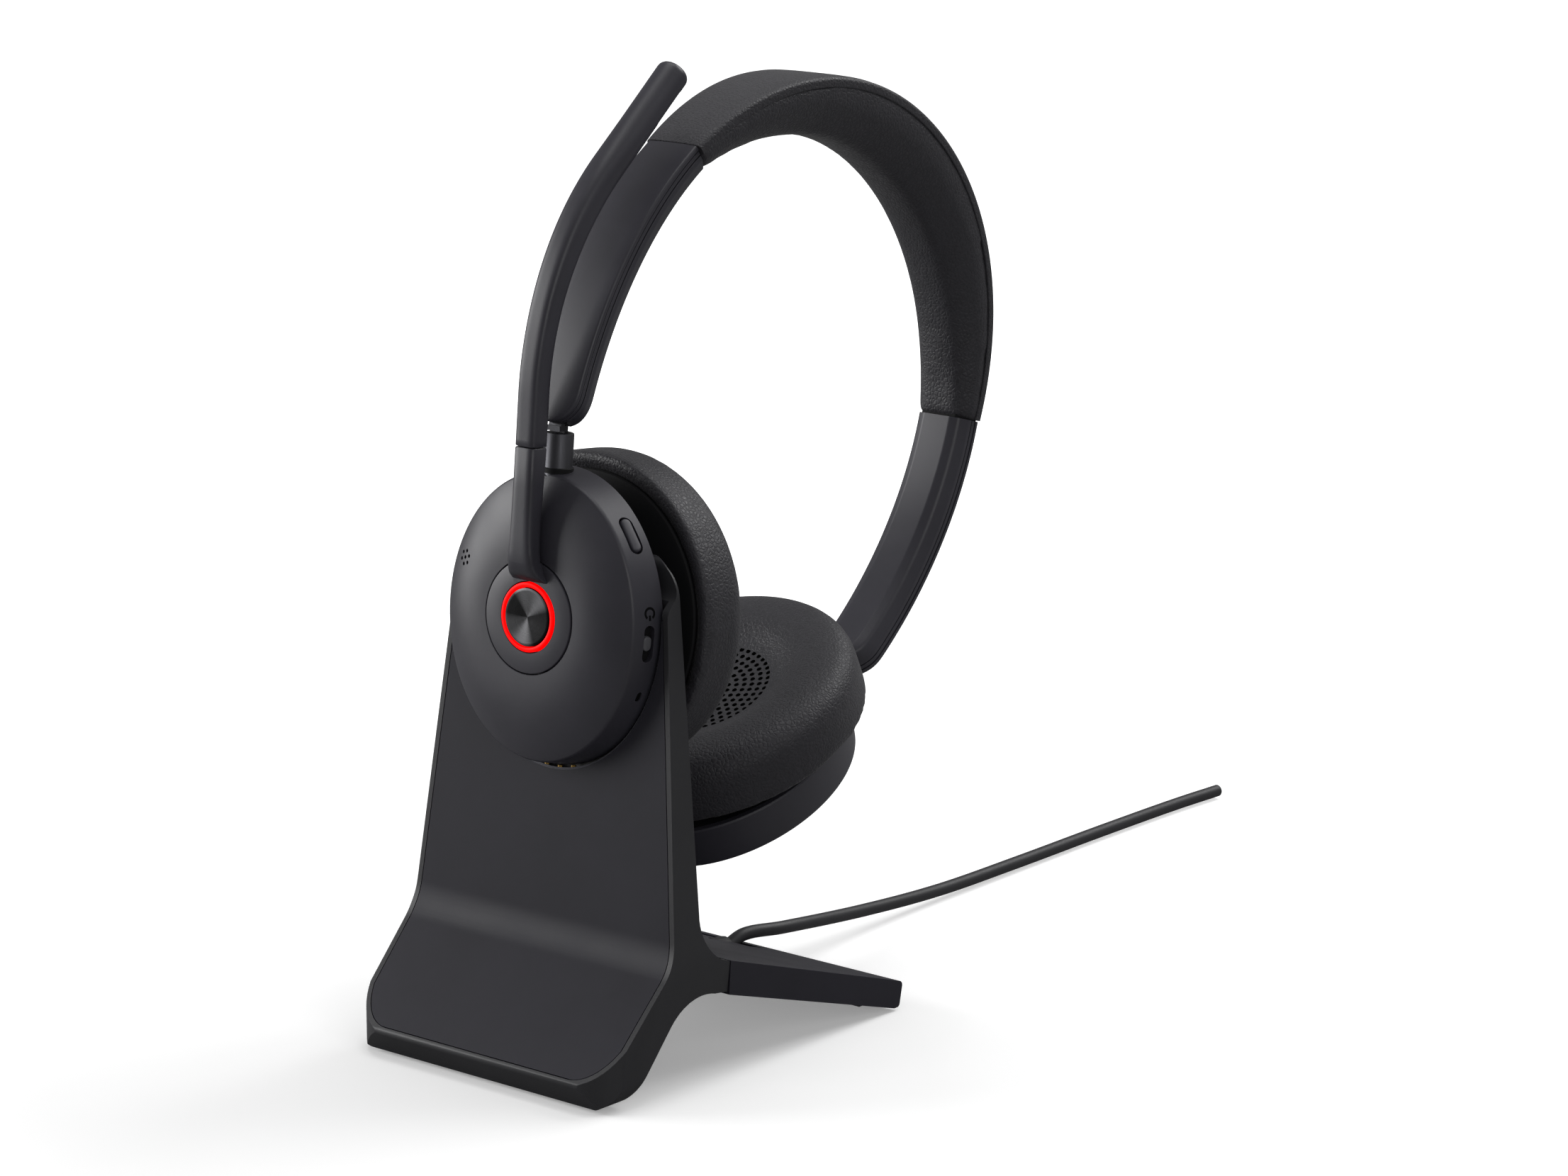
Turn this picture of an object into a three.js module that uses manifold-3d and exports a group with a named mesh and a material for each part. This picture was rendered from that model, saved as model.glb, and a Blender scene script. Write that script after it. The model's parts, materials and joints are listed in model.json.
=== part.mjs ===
// Office headset resting on its charging stand, in millimetres, +Z up.
// X runs across the stand, Y runs from its front edge to the back, and the front rubber pad
// stands on Z = 0. The headset hangs in the X = 0 plane: the near ear cup with the microphone
// boom sits in the cradle, and the headband arches back over to the far ear cup.

import Module from 'manifold-3d';
import * as THREE from 'three';
import { mergeVertices } from 'three/addons/utils/BufferGeometryUtils.js';

const wasm = await Module();
wasm.setup();

// ---------------------------------------------------------------- driving dimensions

const RAD = Math.PI / 180;
const GAP = 0.3;                       // clearance between neighbouring pieces
const PAST = 60;                       // a cutting tool reaches this far, past any piece it cuts

const STAND = {
  halfWidth: 40,                       // widest point, at the crease
  creaseHeight: 29,
  topHalfWidth: 30.9,
  height: 118.5,
  lean: 5.4 * RAD,                     // the upright leans back by this angle
  thickness: 8.6,                      // of the upright
  panelThickness: 2.2,
  panelMargin: 1.5,                    // frame edge left visible around the front panel
  panelTop: 94,                        // height where the front panel ends
  seamY: 40,                           // seam between the frame and the rear foot
  seamTop: 26.7,                       // its height at the top face
  seamBottom: 18.8,
  rearY: 102.4,
  frontPadY: 4,                        // centre of the front rubber pad, the row's origin
};

const HUB = new THREE.Vector3(0, 17.57, 104.1);       // centre of the near hub face
const FAR_HUB = new THREE.Vector3(0, 90.8, 47.5);     // centre of the far cup's outer face
const FAR_TURN = 115 * RAD;                           // direction from that face into the cup

// An ear cup, measured from its outer face: depth 0 is the hub face, depth grows inwards.
const CUP = {
  faceHalfWidth: 27.8,
  faceHalfHeight: 32.6,
  faceDepth: 4.1,                      // how far the domed face falls back at its edge
  rimHalfWidth: 29.5,
  rimHalfHeight: 33.9,
  rimDepth: 12.3,
  farRimDepth: 14.8,                   // the far cup's shell is deeper, it needs no cradle
  drop: 0.5,                           // the rim's centre lies this far below the hub
  wall: 1.7,
  baseThickness: 1.3,
  neckRadius: 17,
  neckEnd: 19,
  baffleRadius: 32.2,
  cushionRadius: 36.4,
  cushionStart: 20.8,
  cushionFront: 34.8,
  cushionRound: 8,
  dishRadius: 16.5,
  dishDepth: 30.2,
};

const POST = { radius: 3.3, depth: 7.4, bottom: 24, top: 41.2 };

const BOOM = {
  discRadius: 12.73,
  discThickness: 2.3,
  ringOuter: 7.86,
  ringInner: 6.75,
  axleRadius: 7,
  boreRadius: 2.7,
  seam: 38.4,                          // height of the seam between root and arm
  straightTop: 50,                     // where the arm starts to curve
  bendRadius: 72,
  bendAngle: 44.5 * RAD,
  tipLength: 29.4,                     // straight stretch after the bend
  centreDepth: -1.6,
  halfWidth: 2.95,                     // of the arm's bar, level with its seam
  tipRadius: 3.8,
  microphoneTurn: 40 * RAD,            // the microphone's slot looks inwards and a little aside
};

// The headband's outer line is symmetric about an axis that tilts back with the headset.
const BAND = {
  apexY: 148.4,
  apexZ: 202.8,
  tilt: 37.1 * RAD,
  radii: [[0, 70], [30, 68], [60, 72], [90, 85], [120, 111], [160, 126]],
  coverEnd: 86.2,                      // the padded cover ends here, the arms begin
  armEnd: 159.5,
  armRound: 8,
  armHalfWidth: 7.36,
  armInnerHalfWidth: 5.84,
  armThickness: 8,
  coverHalfWidth: 11.15,
  coverEndHalfWidth: 8.1,
  padThickness: 16.4,
  springHalfWidth: 3.6,
  springEnd: 104,
};

// ---------------------------------------------------------------- colours

const COLOURS = {
  charcoal: [0x333237, 0.45, 0],
  darkPlastic: [0x29292b, 0.5, 0],
  leather: [0x2b2a2e, 0.6, 0],
  rubber: [0x1c1c1e, 0.85, 0],
  satinMetal: [0x6a6a6c, 0.35, 0.8],
  steel: [0xa4a6a8, 0.3, 1],
  spunMetal: [0x4b4b4b, 0.25, 1],
  gold: [0xc9a24c, 0.3, 1],
  redLight: [0xff1a12, 0.4, 0],
  greenBoard: [0x1f5a35, 0.6, 0],
  silverFoil: [0xb4b6ba, 0.4, 0.6],
  blackCable: [0x2c2c2f, 0.6, 0],
  greyFabric: [0x303033, 0.95, 0],
  clearPlastic: [0xdcdcdc, 0.2, 0],
};

// ---------------------------------------------------------------- solids and booleans

function toSolid(geometry) {
  const bare = geometry.clone();
  bare.deleteAttribute('normal');
  bare.deleteAttribute('uv');
  const merged = mergeVertices(bare, 1e-4);
  return new wasm.Manifold(new wasm.Mesh({
    numProp: 3,
    vertProperties: new Float32Array(merged.attributes.position.array),
    triVerts: new Uint32Array(merged.index.array),
  }));
}

function toGeometry(solid) {
  const mesh = solid.getMesh();
  const geometry = new THREE.BufferGeometry();
  geometry.setAttribute('position', new THREE.BufferAttribute(mesh.vertProperties, 3));
  geometry.setIndex(new THREE.BufferAttribute(mesh.triVerts, 1));
  geometry.computeVertexNormals();
  return geometry;
}

function cut(body, ...tools) {
  let solid = toSolid(body);
  for (const tool of tools) {
    solid = solid.subtract(toSolid(tool));
  }
  return toGeometry(solid);
}

function fuse(first, ...others) {
  let solid = toSolid(first);
  for (const other of others) {
    solid = solid.add(toSolid(other));
  }
  return toGeometry(solid);
}

function common(first, second) {
  return toGeometry(toSolid(first).intersect(toSolid(second)));
}

function moved(geometry, matrix) {
  return geometry.clone().applyMatrix4(matrix);
}

// ---------------------------------------------------------------- outlines and basic shapes

/** Rounds the corners of an outline given as [a, b, radius] corners. */
function rounded(corners, closed = true) {
  const points = [];
  corners.forEach(([a, b, radius = 0], i) => {
    const here = new THREE.Vector2(a, b);
    const isEnd = !closed && (i === 0 || i === corners.length - 1);
    if (radius === 0 || isEnd) {
      points.push(here);
      return;
    }
    const [pa, pb] = corners[(i + corners.length - 1) % corners.length];
    const [na, nb] = corners[(i + 1) % corners.length];
    const back = new THREE.Vector2(pa - a, pb - b).normalize();
    const ahead = new THREE.Vector2(na - a, nb - b).normalize();
    const half = Math.acos(THREE.MathUtils.clamp(back.dot(ahead), -1, 1)) / 2;
    const centre = back.clone().add(ahead).normalize().multiplyScalar(radius / Math.sin(half)).add(here);
    const start = back.multiplyScalar(radius / Math.tan(half)).add(here).sub(centre);
    const turn = Math.PI - 2 * half;
    const side = Math.sign(start.cross(ahead));
    const steps = Math.max(2, Math.ceil(turn / (14 * RAD)));
    for (let k = 0; k <= steps; k += 1) {
      points.push(start.clone().rotateAround(new THREE.Vector2(), (side * turn * k) / steps).add(centre));
    }
  });
  return points;
}

/** Extrudes an outline in the XZ plane from y0 to y1. */
function extrudeY(points, y0, y1) {
  const shape = new THREE.Shape(points);
  const geometry = new THREE.ExtrudeGeometry(shape, { depth: y1 - y0, bevelEnabled: false });
  return geometry.rotateX(Math.PI / 2).translate(0, y1, 0);
}

/** Extrudes an outline in the YZ plane from x0 to x1. */
function extrudeX(points, x0, x1) {
  const shape = new THREE.Shape(points);
  const geometry = new THREE.ExtrudeGeometry(shape, { depth: x1 - x0, bevelEnabled: false });
  const turn = new THREE.Matrix4().makeBasis(
    new THREE.Vector3(0, 1, 0), new THREE.Vector3(0, 0, 1), new THREE.Vector3(1, 0, 0));
  return geometry.applyMatrix4(turn).translate(x0, 0, 0);
}

function box(x0, x1, y0, y1, z0, z1) {
  return new THREE.BoxGeometry(x1 - x0, y1 - y0, z1 - z0)
    .translate((x0 + x1) / 2, (y0 + y1) / 2, (z0 + z1) / 2);
}

/** A pill-shaped block, long along X, extruded along Z from z0 to z1. */
function pill(length, width, z0, z1) {
  const radius = width / 2;
  const points = [];
  for (const end of [1, -1]) {
    for (let i = 0; i <= 8; i += 1) {
      const angle = ((i - 4) * Math.PI) / 8;
      points.push(new THREE.Vector2(
        end * (length / 2 - radius + radius * Math.cos(angle)), end * radius * Math.sin(angle)));
    }
  }
  const shape = new THREE.Shape(points);
  return new THREE.ExtrudeGeometry(shape, { depth: z1 - z0, bevelEnabled: false }).translate(0, 0, z0);
}

/** Skins a stack of rings that have the same number of points, and closes both ends. */
function skin(rings, loop = false) {
  const count = rings[0].length;
  const positions = rings.flat().flatMap((p) => [p.x, p.y, p.z]);
  const faces = [];
  const spans = loop ? rings.length : rings.length - 1;
  for (let i = 0; i < spans; i += 1) {
    const low = i * count;
    const high = ((i + 1) % rings.length) * count;
    for (let j = 0; j < count; j += 1) {
      const next = (j + 1) % count;
      faces.push(low + j, low + next, high + next, low + j, high + next, high + j);
    }
  }
  if (!loop) {
    [0, rings.length - 1].forEach((end) => {
      const centre = rings[end].reduce((sum, p) => sum.add(p), new THREE.Vector3()).divideScalar(count);
      const hub = positions.length / 3;
      positions.push(centre.x, centre.y, centre.z);
      for (let j = 0; j < count; j += 1) {
        const a = end * count + j;
        const b = end * count + ((j + 1) % count);
        faces.push(...(end === 0 ? [hub, b, a] : [hub, a, b]));
      }
    });
  }
  if (signedVolume(positions, faces) < 0) {
    faces.reverse();
  }
  const geometry = new THREE.BufferGeometry();
  geometry.setAttribute('position', new THREE.Float32BufferAttribute(positions, 3));
  geometry.setIndex(faces);
  geometry.computeVertexNormals();
  return geometry;
}

function signedVolume(positions, faces) {
  const corner = (i) => new THREE.Vector3().fromArray(positions, 3 * i);
  let volume = 0;
  for (let i = 0; i < faces.length; i += 3) {
    volume += corner(faces[i]).dot(corner(faces[i + 1]).cross(corner(faces[i + 2])));
  }
  return volume;
}

/** An oval piece about the Y axis: each level is [half width, half height, depth, drop]. */
function ovals(levels, segments, loop = false) {
  const rings = levels.map(([halfWidth, halfHeight, depth, drop = 0]) => {
    const ring = [];
    for (let i = 0; i < segments; i += 1) {
      const angle = (2 * Math.PI * i) / segments;
      ring.push(new THREE.Vector3(halfWidth * Math.cos(angle), depth, halfHeight * Math.sin(angle) - drop));
    }
    return ring;
  });
  return skin(rings, loop);
}

/** A round piece about the Y axis: each level is [radius, depth]. */
function rounds(levels, segments, loop = false) {
  return ovals(levels.map(([radius, depth]) => [radius, radius, depth]), segments, loop);
}

/** A plain cylinder along Z. */
function rod(radius, z0, z1, segments, x = 0, y = 0) {
  return new THREE.CylinderGeometry(radius, radius, z1 - z0, segments)
    .rotateX(Math.PI / 2).translate(x, y, (z0 + z1) / 2);
}

// ---------------------------------------------------------------- places

/** Cup axes: x across, y into the cup, z along the cup towards the headband. */
function nearCupPlace() {
  return new THREE.Matrix4().makeTranslation(HUB).multiply(new THREE.Matrix4().makeRotationX(-STAND.lean));
}

function farCupPlace() {
  const inward = new THREE.Vector3(0, Math.cos(FAR_TURN), Math.sin(FAR_TURN));
  const along = new THREE.Vector3(0, Math.sin(FAR_TURN), -Math.cos(FAR_TURN));
  const across = new THREE.Vector3(-1, 0, 0);
  const turn = new THREE.Matrix4().makeBasis(across, inward, along);
  return new THREE.Matrix4().makeTranslation(FAR_HUB).multiply(turn);
}

/** A point on the cup's side wall and its basis: x along the rim, y down the wall, z outwards. */
function rimPlace(angle, depth) {
  const span = CUP.rimDepth - CUP.faceDepth;
  const share = (depth - CUP.faceDepth) / span;
  const halfWidth = THREE.MathUtils.lerp(CUP.faceHalfWidth, CUP.rimHalfWidth, share);
  const halfHeight = THREE.MathUtils.lerp(CUP.faceHalfHeight, CUP.rimHalfHeight, share);
  const point = new THREE.Vector3(
    halfWidth * Math.cos(angle), depth, halfHeight * Math.sin(angle) - CUP.drop);
  const flat = new THREE.Vector3(Math.cos(angle) / halfWidth, 0, Math.sin(angle) / halfHeight).normalize();
  const along = new THREE.Vector3(0, 1, 0).cross(flat);
  const flare = (CUP.rimHalfWidth - CUP.faceHalfWidth) / span;
  const outward = flat.setY(-flare).normalize();
  const down = new THREE.Vector3().crossVectors(outward, along);
  return new THREE.Matrix4().makeTranslation(point)
    .multiply(new THREE.Matrix4().makeBasis(along, down, outward));
}

// ---------------------------------------------------------------- headband line

/** Curvature of the headband at a distance from its apex, linear between the given radii. */
function bandCurvature(distance) {
  const { radii } = BAND;
  for (let i = 1; i < radii.length; i += 1) {
    const [s0, r0] = radii[i - 1];
    const [s1, r1] = radii[i];
    if (distance <= s1) {
      return THREE.MathUtils.lerp(1 / r0, 1 / r1, (distance - s0) / (s1 - s0));
    }
  }
  return 1 / radii.at(-1)[1];
}

/** Station on the headband's outer line: point, direction of growing s, and inward normal. */
function bandStation(s) {
  const side = Math.sign(s) || 1;
  const across = new THREE.Vector3(0, Math.cos(BAND.tilt), -Math.sin(BAND.tilt)).multiplyScalar(side);
  const up = new THREE.Vector3(0, Math.sin(BAND.tilt), Math.cos(BAND.tilt));
  const steps = 80;
  const step = Math.abs(s) / steps;
  const point = new THREE.Vector3(0, BAND.apexY, BAND.apexZ);
  let heading = 0;
  for (let i = 0; i < steps; i += 1) {
    const turn = bandCurvature((i + 0.5) * step) * step;
    heading += turn / 2;
    point.addScaledVector(across, Math.cos(heading) * step);
    point.addScaledVector(up, -Math.sin(heading) * step);
    heading += turn / 2;
  }
  const outward = across.clone().multiplyScalar(Math.sin(heading)).addScaledVector(up, Math.cos(heading));
  const along = across.clone().multiplyScalar(Math.cos(heading)).addScaledVector(up, -Math.sin(heading));
  return { point, inward: outward.negate(), along: along.multiplyScalar(side) };
}

/** Sweeps a section along the headband. section(s) gives [x, depth below the outer line] points. */
function sweepBand(from, to, stations, section) {
  const rings = [];
  for (let i = 0; i <= stations; i += 1) {
    const s = THREE.MathUtils.lerp(from, to, i / stations);
    const { point, inward } = bandStation(s);
    rings.push(section(s).map(([x, depth]) => point.clone().addScaledVector(inward, depth).setX(x)));
  }
  return skin(rings);
}

function slab(halfWidth, depth0, depth1) {
  return [[-halfWidth, depth0], [halfWidth, depth0], [halfWidth, depth1], [-halfWidth, depth1]];
}

// ---------------------------------------------------------------- charging stand

const SLOPE = {
  foot: 45.6 * RAD,                    // the front foot's face, from the horizontal
  rearTop: 18.2 * RAD,                 // how the rear foot falls to the back
  rearBottom: 17.2 * RAD,
  under: 50.2 * RAD,                   // underside of the front foot
};
const LIP = { y: -2.5, z: 6.1 };
const UPRIGHT = { y: 24.3, z: 65.3 };  // a point on the upright's front face
const SOLE = 0.5;                      // the plastic stays this far above the desk
const UNDER_Y = 7.4;                   // rear edge of the front foot's sole
const CRADLE_PLAY = 0.6;               // room around the cup's rim and neck in the cradle

/** Where two lines in the YZ plane meet; each is [y, z, angle from the Y axis]. */
function meet([y0, z0, a0], [y1, z1, a1]) {
  const d = Math.cos(a0) * Math.sin(a1) - Math.sin(a0) * Math.cos(a1);
  const t = ((y1 - y0) * Math.sin(a1) - (z1 - z0) * Math.cos(a1)) / d;
  return [y0 + t * Math.cos(a0), z0 + t * Math.sin(a0)];
}

/** The front face's line (lip, crease, top), moved into the material by a distance. */
function frontLine(offset) {
  const footAngle = SLOPE.foot;
  const rise = Math.PI / 2 - STAND.lean;
  const foot = [LIP.y + offset * Math.sin(footAngle), LIP.z - offset * Math.cos(footAngle), footAngle];
  const upright = [UPRIGHT.y + offset * Math.sin(rise), UPRIGHT.z - offset * Math.cos(rise), rise];
  const level = [0, STAND.height, 0];
  return { start: foot, crease: meet(foot, upright), top: meet(upright, level), upright };
}

const CREASE_ROUND = 14;
const REAR_ROUND = 12;
const ARCH_ROUND = 14;

function frameProfile() {
  const front = frontLine(0);
  const back = frontLine(STAND.thickness);
  const rearTop = [STAND.seamY, STAND.seamTop, -SLOPE.rearTop];
  const rearBottom = [STAND.seamY - 0.6, STAND.seamBottom, -SLOPE.rearBottom];
  const under = [UNDER_Y, SOLE, SLOPE.under];
  return rounded([
    [0.4, SOLE, 0.8],
    [LIP.y, LIP.z, 1.4],
    [...front.crease, CREASE_ROUND],
    [...front.top, 1.5],
    [...back.top, 1.5],
    [...meet(back.upright, rearTop), REAR_ROUND],
    [rearTop[0] - GAP / 2, rearTop[1]],
    [rearBottom[0] - GAP / 2, rearBottom[1]],
    [...meet(rearBottom, under), ARCH_ROUND],
    [UNDER_Y, SOLE, 0.8],
  ]);
}

/** Front view of the stand: widest at the crease, narrowing to the two ears. */
function standOutline(inset) {
  const side = [STAND.halfWidth - inset, STAND.creaseHeight, 30];
  const foot = [STAND.halfWidth - 1.2 - inset, SOLE - 0.1 + inset, 6.5];
  const ear = [STAND.topHalfWidth - inset, STAND.height - inset, 9];
  const mirror = ([x, z, radius]) => [-x, z, radius];
  return rounded([foot, side, ear, mirror(ear), mirror(side), mirror(foot)]);
}

/** The sheet behind the front face between two depths, up to a height. */
function frontSheet(depth0, depth1, lipInset, top) {
  const along = (line, distance) => [
    line.start[0] + distance * Math.cos(SLOPE.foot), line.start[1] + distance * Math.sin(SLOPE.foot)];
  const cap = (line) => meet(line.upright, [0, top, 0]);
  const outer = frontLine(depth0);
  const inner = frontLine(depth1);
  return rounded([
    [...along(outer, lipInset), 0],
    [...outer.crease, CREASE_ROUND + depth0],
    [...cap(outer), 0],
    [...cap(inner), 0],
    [...inner.crease, CREASE_ROUND + depth1],
    [...along(inner, lipInset), 0],
  ]);
}

/** Rubber pads on the desk: half width, front and back edge, height, and distance from the middle. */
const PADS = {
  front: { x: 0, halfWidth: 30, start: 1.9, end: 6.1, top: 1.6 },
  rear: { x: 24, halfWidth: 8, start: 96, end: 99.8, top: 2 },
};

/** A pad, or with a clearance the recess it sits in. */
function padBox({ x, halfWidth, start, end, top }, clearance = 0, side = 1) {
  const reach = halfWidth + clearance;
  return box(side * x - reach, side * x + reach, start - clearance, end + clearance,
    clearance > 0 ? -1 : 0, top + clearance);
}

/** The U-shaped pocket that holds the cup's rim, open at the top, in cup axes. */
function rimPocket(depth) {
  const halfWidth = CUP.rimHalfWidth + CRADLE_PLAY;
  const halfHeight = CUP.rimHalfHeight + CRADLE_PLAY;
  const oval = ovals([[halfWidth, halfHeight, -PAST, CUP.drop], [halfWidth, halfHeight, depth, CUP.drop]], 48);
  return fuse(oval, box(-halfWidth, halfWidth, -PAST, depth, -CUP.drop, PAST));
}

/** The notch between the ears that lets the cup's neck drop in from above. */
function neckNotch() {
  const radius = CUP.neckRadius + CRADLE_PLAY;
  return fuse(rounds([[radius, 5], [radius, PAST]], 40), box(-radius, radius, 5, PAST, 0, PAST));
}

const CONTACTS = {
  xs: [-6, -2, 2, 6], radius: 0.6, depth: 11.4, blockHalfWidth: 9, blockFront: 10.4, blockBack: 13.6,
  blockTop: -35.3, blockBottom: -39, wellDepth: 2.3, pinBottom: 1.2,
};

function contactBlock(clearance, headroom = clearance) {
  const { blockHalfWidth, blockFront, blockBack, blockTop, blockBottom } = CONTACTS;
  return box(-blockHalfWidth - clearance, blockHalfWidth + clearance, blockFront - clearance,
    blockBack + clearance, blockBottom - clearance, blockTop + headroom);
}

const BOARD_BAY = { halfWidth: 16, top: -40.5, bottom: -62, front: 12, back: 16.4 };
const CHARGING_BOARD = { halfWidth: 14.5, top: -42, bottom: -61, front: 14.4, back: 15.4 };

function uprightBlock({ halfWidth, top, bottom, front, back }) {
  return box(-halfWidth, halfWidth, front, back, bottom, top);
}

const CABLE = { radius: 1.6, channelRadius: 2, x: -6 };

/** Centre line of the lead, from the charging board out of the rear foot to its cut end. */
function cablePath() {
  const { x } = CABLE;
  const points = [
    [x, 27.4, 41], [x, 28.8, 35], [x, 33, 27.8], [x, 41, 23.1], [x, 60, 16.9], [x, 84, 9],
    [x + 0.2, 92, 8.3], [x + 1, 99, 10.7], [x + 2.5, 110.5, 8.7], [x + 0.6, 143, 4.6],
    [x - 0.9, 176, 2.6], [x - 2, 211, 1.9], [x - 2.7, 246, 1.8], [x - 2.6, 282, 1.8], [x - 1.8, 300, 1.8],
  ];
  return new THREE.CatmullRomCurve3(points.map((p) => new THREE.Vector3(...p)));
}

/** The lead itself, or with a larger radius the channel it lies in. */
function lead(radius, steps) {
  const shape = new THREE.Shape();
  shape.absarc(0, 0, radius, 0, 2 * Math.PI);
  return new THREE.ExtrudeGeometry(shape, {
    steps, curveSegments: 5, bevelEnabled: false, extrudePath: cablePath() });
}

function standFrame() {
  const place = nearCupPlace();
  const whole = common(
    extrudeX(frameProfile(), -STAND.halfWidth - 1, STAND.halfWidth + 1),
    extrudeY(standOutline(0), -PAST, PAST));
  const lipInset = STAND.panelMargin - GAP;
  const recess = common(
    extrudeX(frontSheet(-6, STAND.panelThickness + GAP, lipInset, STAND.panelTop + GAP), -PAST, PAST),
    extrudeY(standOutline(lipInset), -PAST, PAST));
  return cut(whole, recess, padBox(PADS.front, GAP),
    moved(rimPocket(CUP.rimDepth + 0.5), place),
    moved(neckNotch(), place),
    moved(contactBlock(GAP, 3), place),
    moved(uprightBlock(BOARD_BAY), place),
    lead(CABLE.channelRadius, 48));
}

function frontPanel() {
  const place = nearCupPlace();
  const sheet = common(
    extrudeX(frontSheet(0, STAND.panelThickness, STAND.panelMargin, STAND.panelTop), -PAST, PAST),
    extrudeY(standOutline(STAND.panelMargin), -PAST, PAST));
  return cut(sheet, moved(rimPocket(CUP.rimDepth + 0.5), place), moved(contactBlock(GAP, 3), place));
}

/** The rear foot's own axes: x across it, y along it to the back, z out of its top face. */
function footPlace() {
  const middle = (SLOPE.rearTop + SLOPE.rearBottom) / 2;
  return new THREE.Matrix4().makeTranslation(0, STAND.seamY, STAND.seamTop)
    .multiply(new THREE.Matrix4().makeRotationX(-middle));
}

/** A block inside the rear foot, between two depths below its top face. */
function footSlab(x0, x1, along0, along1, depth0, depth1) {
  return moved(box(x0, x1, along0, along1, -depth1, -depth0), footPlace());
}

const WEIGHT = { inner: 4, outer: 31, start: 8, end: 42, top: 2.1, bottom: 5.2 };
const BASE_COVER = { halfWidth: 35, start: 3, end: 46.5, top: 5.6, bottom: 6.9 };
const FOOT_OPEN = 12;                  // bays reach this deep below the top face, out of the underside
const LEAD_SLOT = { left: -28, right: 2, start: 91.5, end: 96.6, floor: 3.2 };
const GROMMET = { y: 88, radius: 2.9, bore: 2.25, start: -2, end: 3.4, seatEnd: 5 };
const SCREWS = { x: 33, along: 25, headRadius: 1.6, shankRadius: 0.9, seat: -6.0, neck: -6.5, tip: -2.4 };

function rearFoot() {
  const profile = rounded([
    [STAND.seamY + GAP / 2, STAND.seamTop],
    [STAND.rearY, 6.4, 1.2],
    [STAND.rearY - 1.3, SOLE, 0.9],
    [STAND.rearY - 3.2, SOLE],
    [STAND.seamY - 0.6 + GAP / 2, STAND.seamBottom],
  ]);
  const body = extrudeX(profile, -STAND.halfWidth, STAND.halfWidth);
  const { inner, outer, start, end, top } = WEIGHT;
  const bays = [-1, 1].map((side) => {
    const xs = [CABLE.x + side * inner, side * outer].sort((a, b) => a - b);
    return footSlab(xs[0] - GAP, xs[1] + GAP, start - GAP, end + GAP, top - GAP, FOOT_OPEN);
  });
  const coverBay = footSlab(-BASE_COVER.halfWidth - GAP, BASE_COVER.halfWidth + GAP,
    BASE_COVER.start - GAP, BASE_COVER.end + GAP, BASE_COVER.top - GAP, FOOT_OPEN);
  const { left, right, floor } = LEAD_SLOT;
  const slot = box(left, right, LEAD_SLOT.start, LEAD_SLOT.end, floor, PAST);
  const pads = [-1, 1].map((side) => padBox(PADS.rear, GAP, side));
  const screwHoles = [-1, 1].map((side) => screwBody(side * SCREWS.x, GAP));
  return cut(body, ...bays, coverBay, slot, ...pads, ...screwHoles,
    moved(grommetSeat(), grommetPlace()),
    lead(CABLE.channelRadius, 48));
}

function screwBody(x, clearance) {
  const { along, headRadius, shankRadius, seat, neck, tip } = SCREWS;
  const head = rod(headRadius + clearance, -BASE_COVER.bottom, seat + clearance, 16, x, along);
  const shank = rod(shankRadius + clearance, neck, tip + clearance, 12, x, along);
  return moved(fuse(head, shank), footPlace());
}

function baseCover() {
  const { halfWidth, start, end, top, bottom } = BASE_COVER;
  const plate = footSlab(-halfWidth, halfWidth, start, end, top, bottom);
  return cut(plate, screwBody(-SCREWS.x, GAP), screwBody(SCREWS.x, GAP));
}

function weight(side) {
  const { inner, outer, start, end, top, bottom } = WEIGHT;
  const xs = [CABLE.x + side * inner, side * outer].sort((a, b) => a - b);
  return footSlab(xs[0], xs[1], start, end, top, bottom);
}

/** Where the lead leaves the rear foot: its own axis runs along the lead. */
function grommetPlace() {
  const path = cablePath();
  const samples = 400;
  let u = 0;
  while (path.getPoint(u).y < GROMMET.y) {
    u += 1 / samples;
  }
  const turn = new THREE.Quaternion().setFromUnitVectors(new THREE.Vector3(0, 1, 0), path.getTangent(u));
  return new THREE.Matrix4().compose(path.getPoint(u), turn, new THREE.Vector3(1, 1, 1));
}

/** The seat that the collar is pushed into from behind. */
function grommetSeat() {
  const radius = GROMMET.radius + GAP;
  return rounds([[radius, GROMMET.start - GAP], [radius, GROMMET.seatEnd]], 20);
}

function grommet() {
  const { radius, bore, start, end } = GROMMET;
  return rounds([[radius, start], [radius, end], [bore, end], [bore, start]], 20, true);
}

/** One sprung contact under the cup's rim; the rim is curved, so each tip has its own height. */
function contactPin(x) {
  const share = (CONTACTS.depth - CUP.faceDepth) / (CUP.rimDepth - CUP.faceDepth);
  const halfHeight = THREE.MathUtils.lerp(CUP.faceHalfHeight, CUP.rimHalfHeight, share);
  const halfWidth = THREE.MathUtils.lerp(CUP.faceHalfWidth, CUP.rimHalfWidth, share);
  const rim = -CUP.drop - halfHeight * Math.sqrt(1 - (x / halfWidth) ** 2);
  return rod(CONTACTS.radius, CONTACTS.blockTop - CONTACTS.pinBottom, rim - GAP, 10, x, CONTACTS.depth);
}

function contactHousing() {
  const wells = CONTACTS.xs.map((x) => rod(CONTACTS.radius + 0.15, CONTACTS.blockTop - CONTACTS.wellDepth,
    CONTACTS.blockTop + 1, 10, x, CONTACTS.depth));
  return cut(contactBlock(0), ...wells);
}

// ---------------------------------------------------------------- ear cups

/** How far the domed face has fallen back, from 0 at the hub to 1 at its edge. */
function faceFall(share) {
  return 0.25 + (CUP.faceDepth - 0.25) * share ** 2.4;
}

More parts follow.
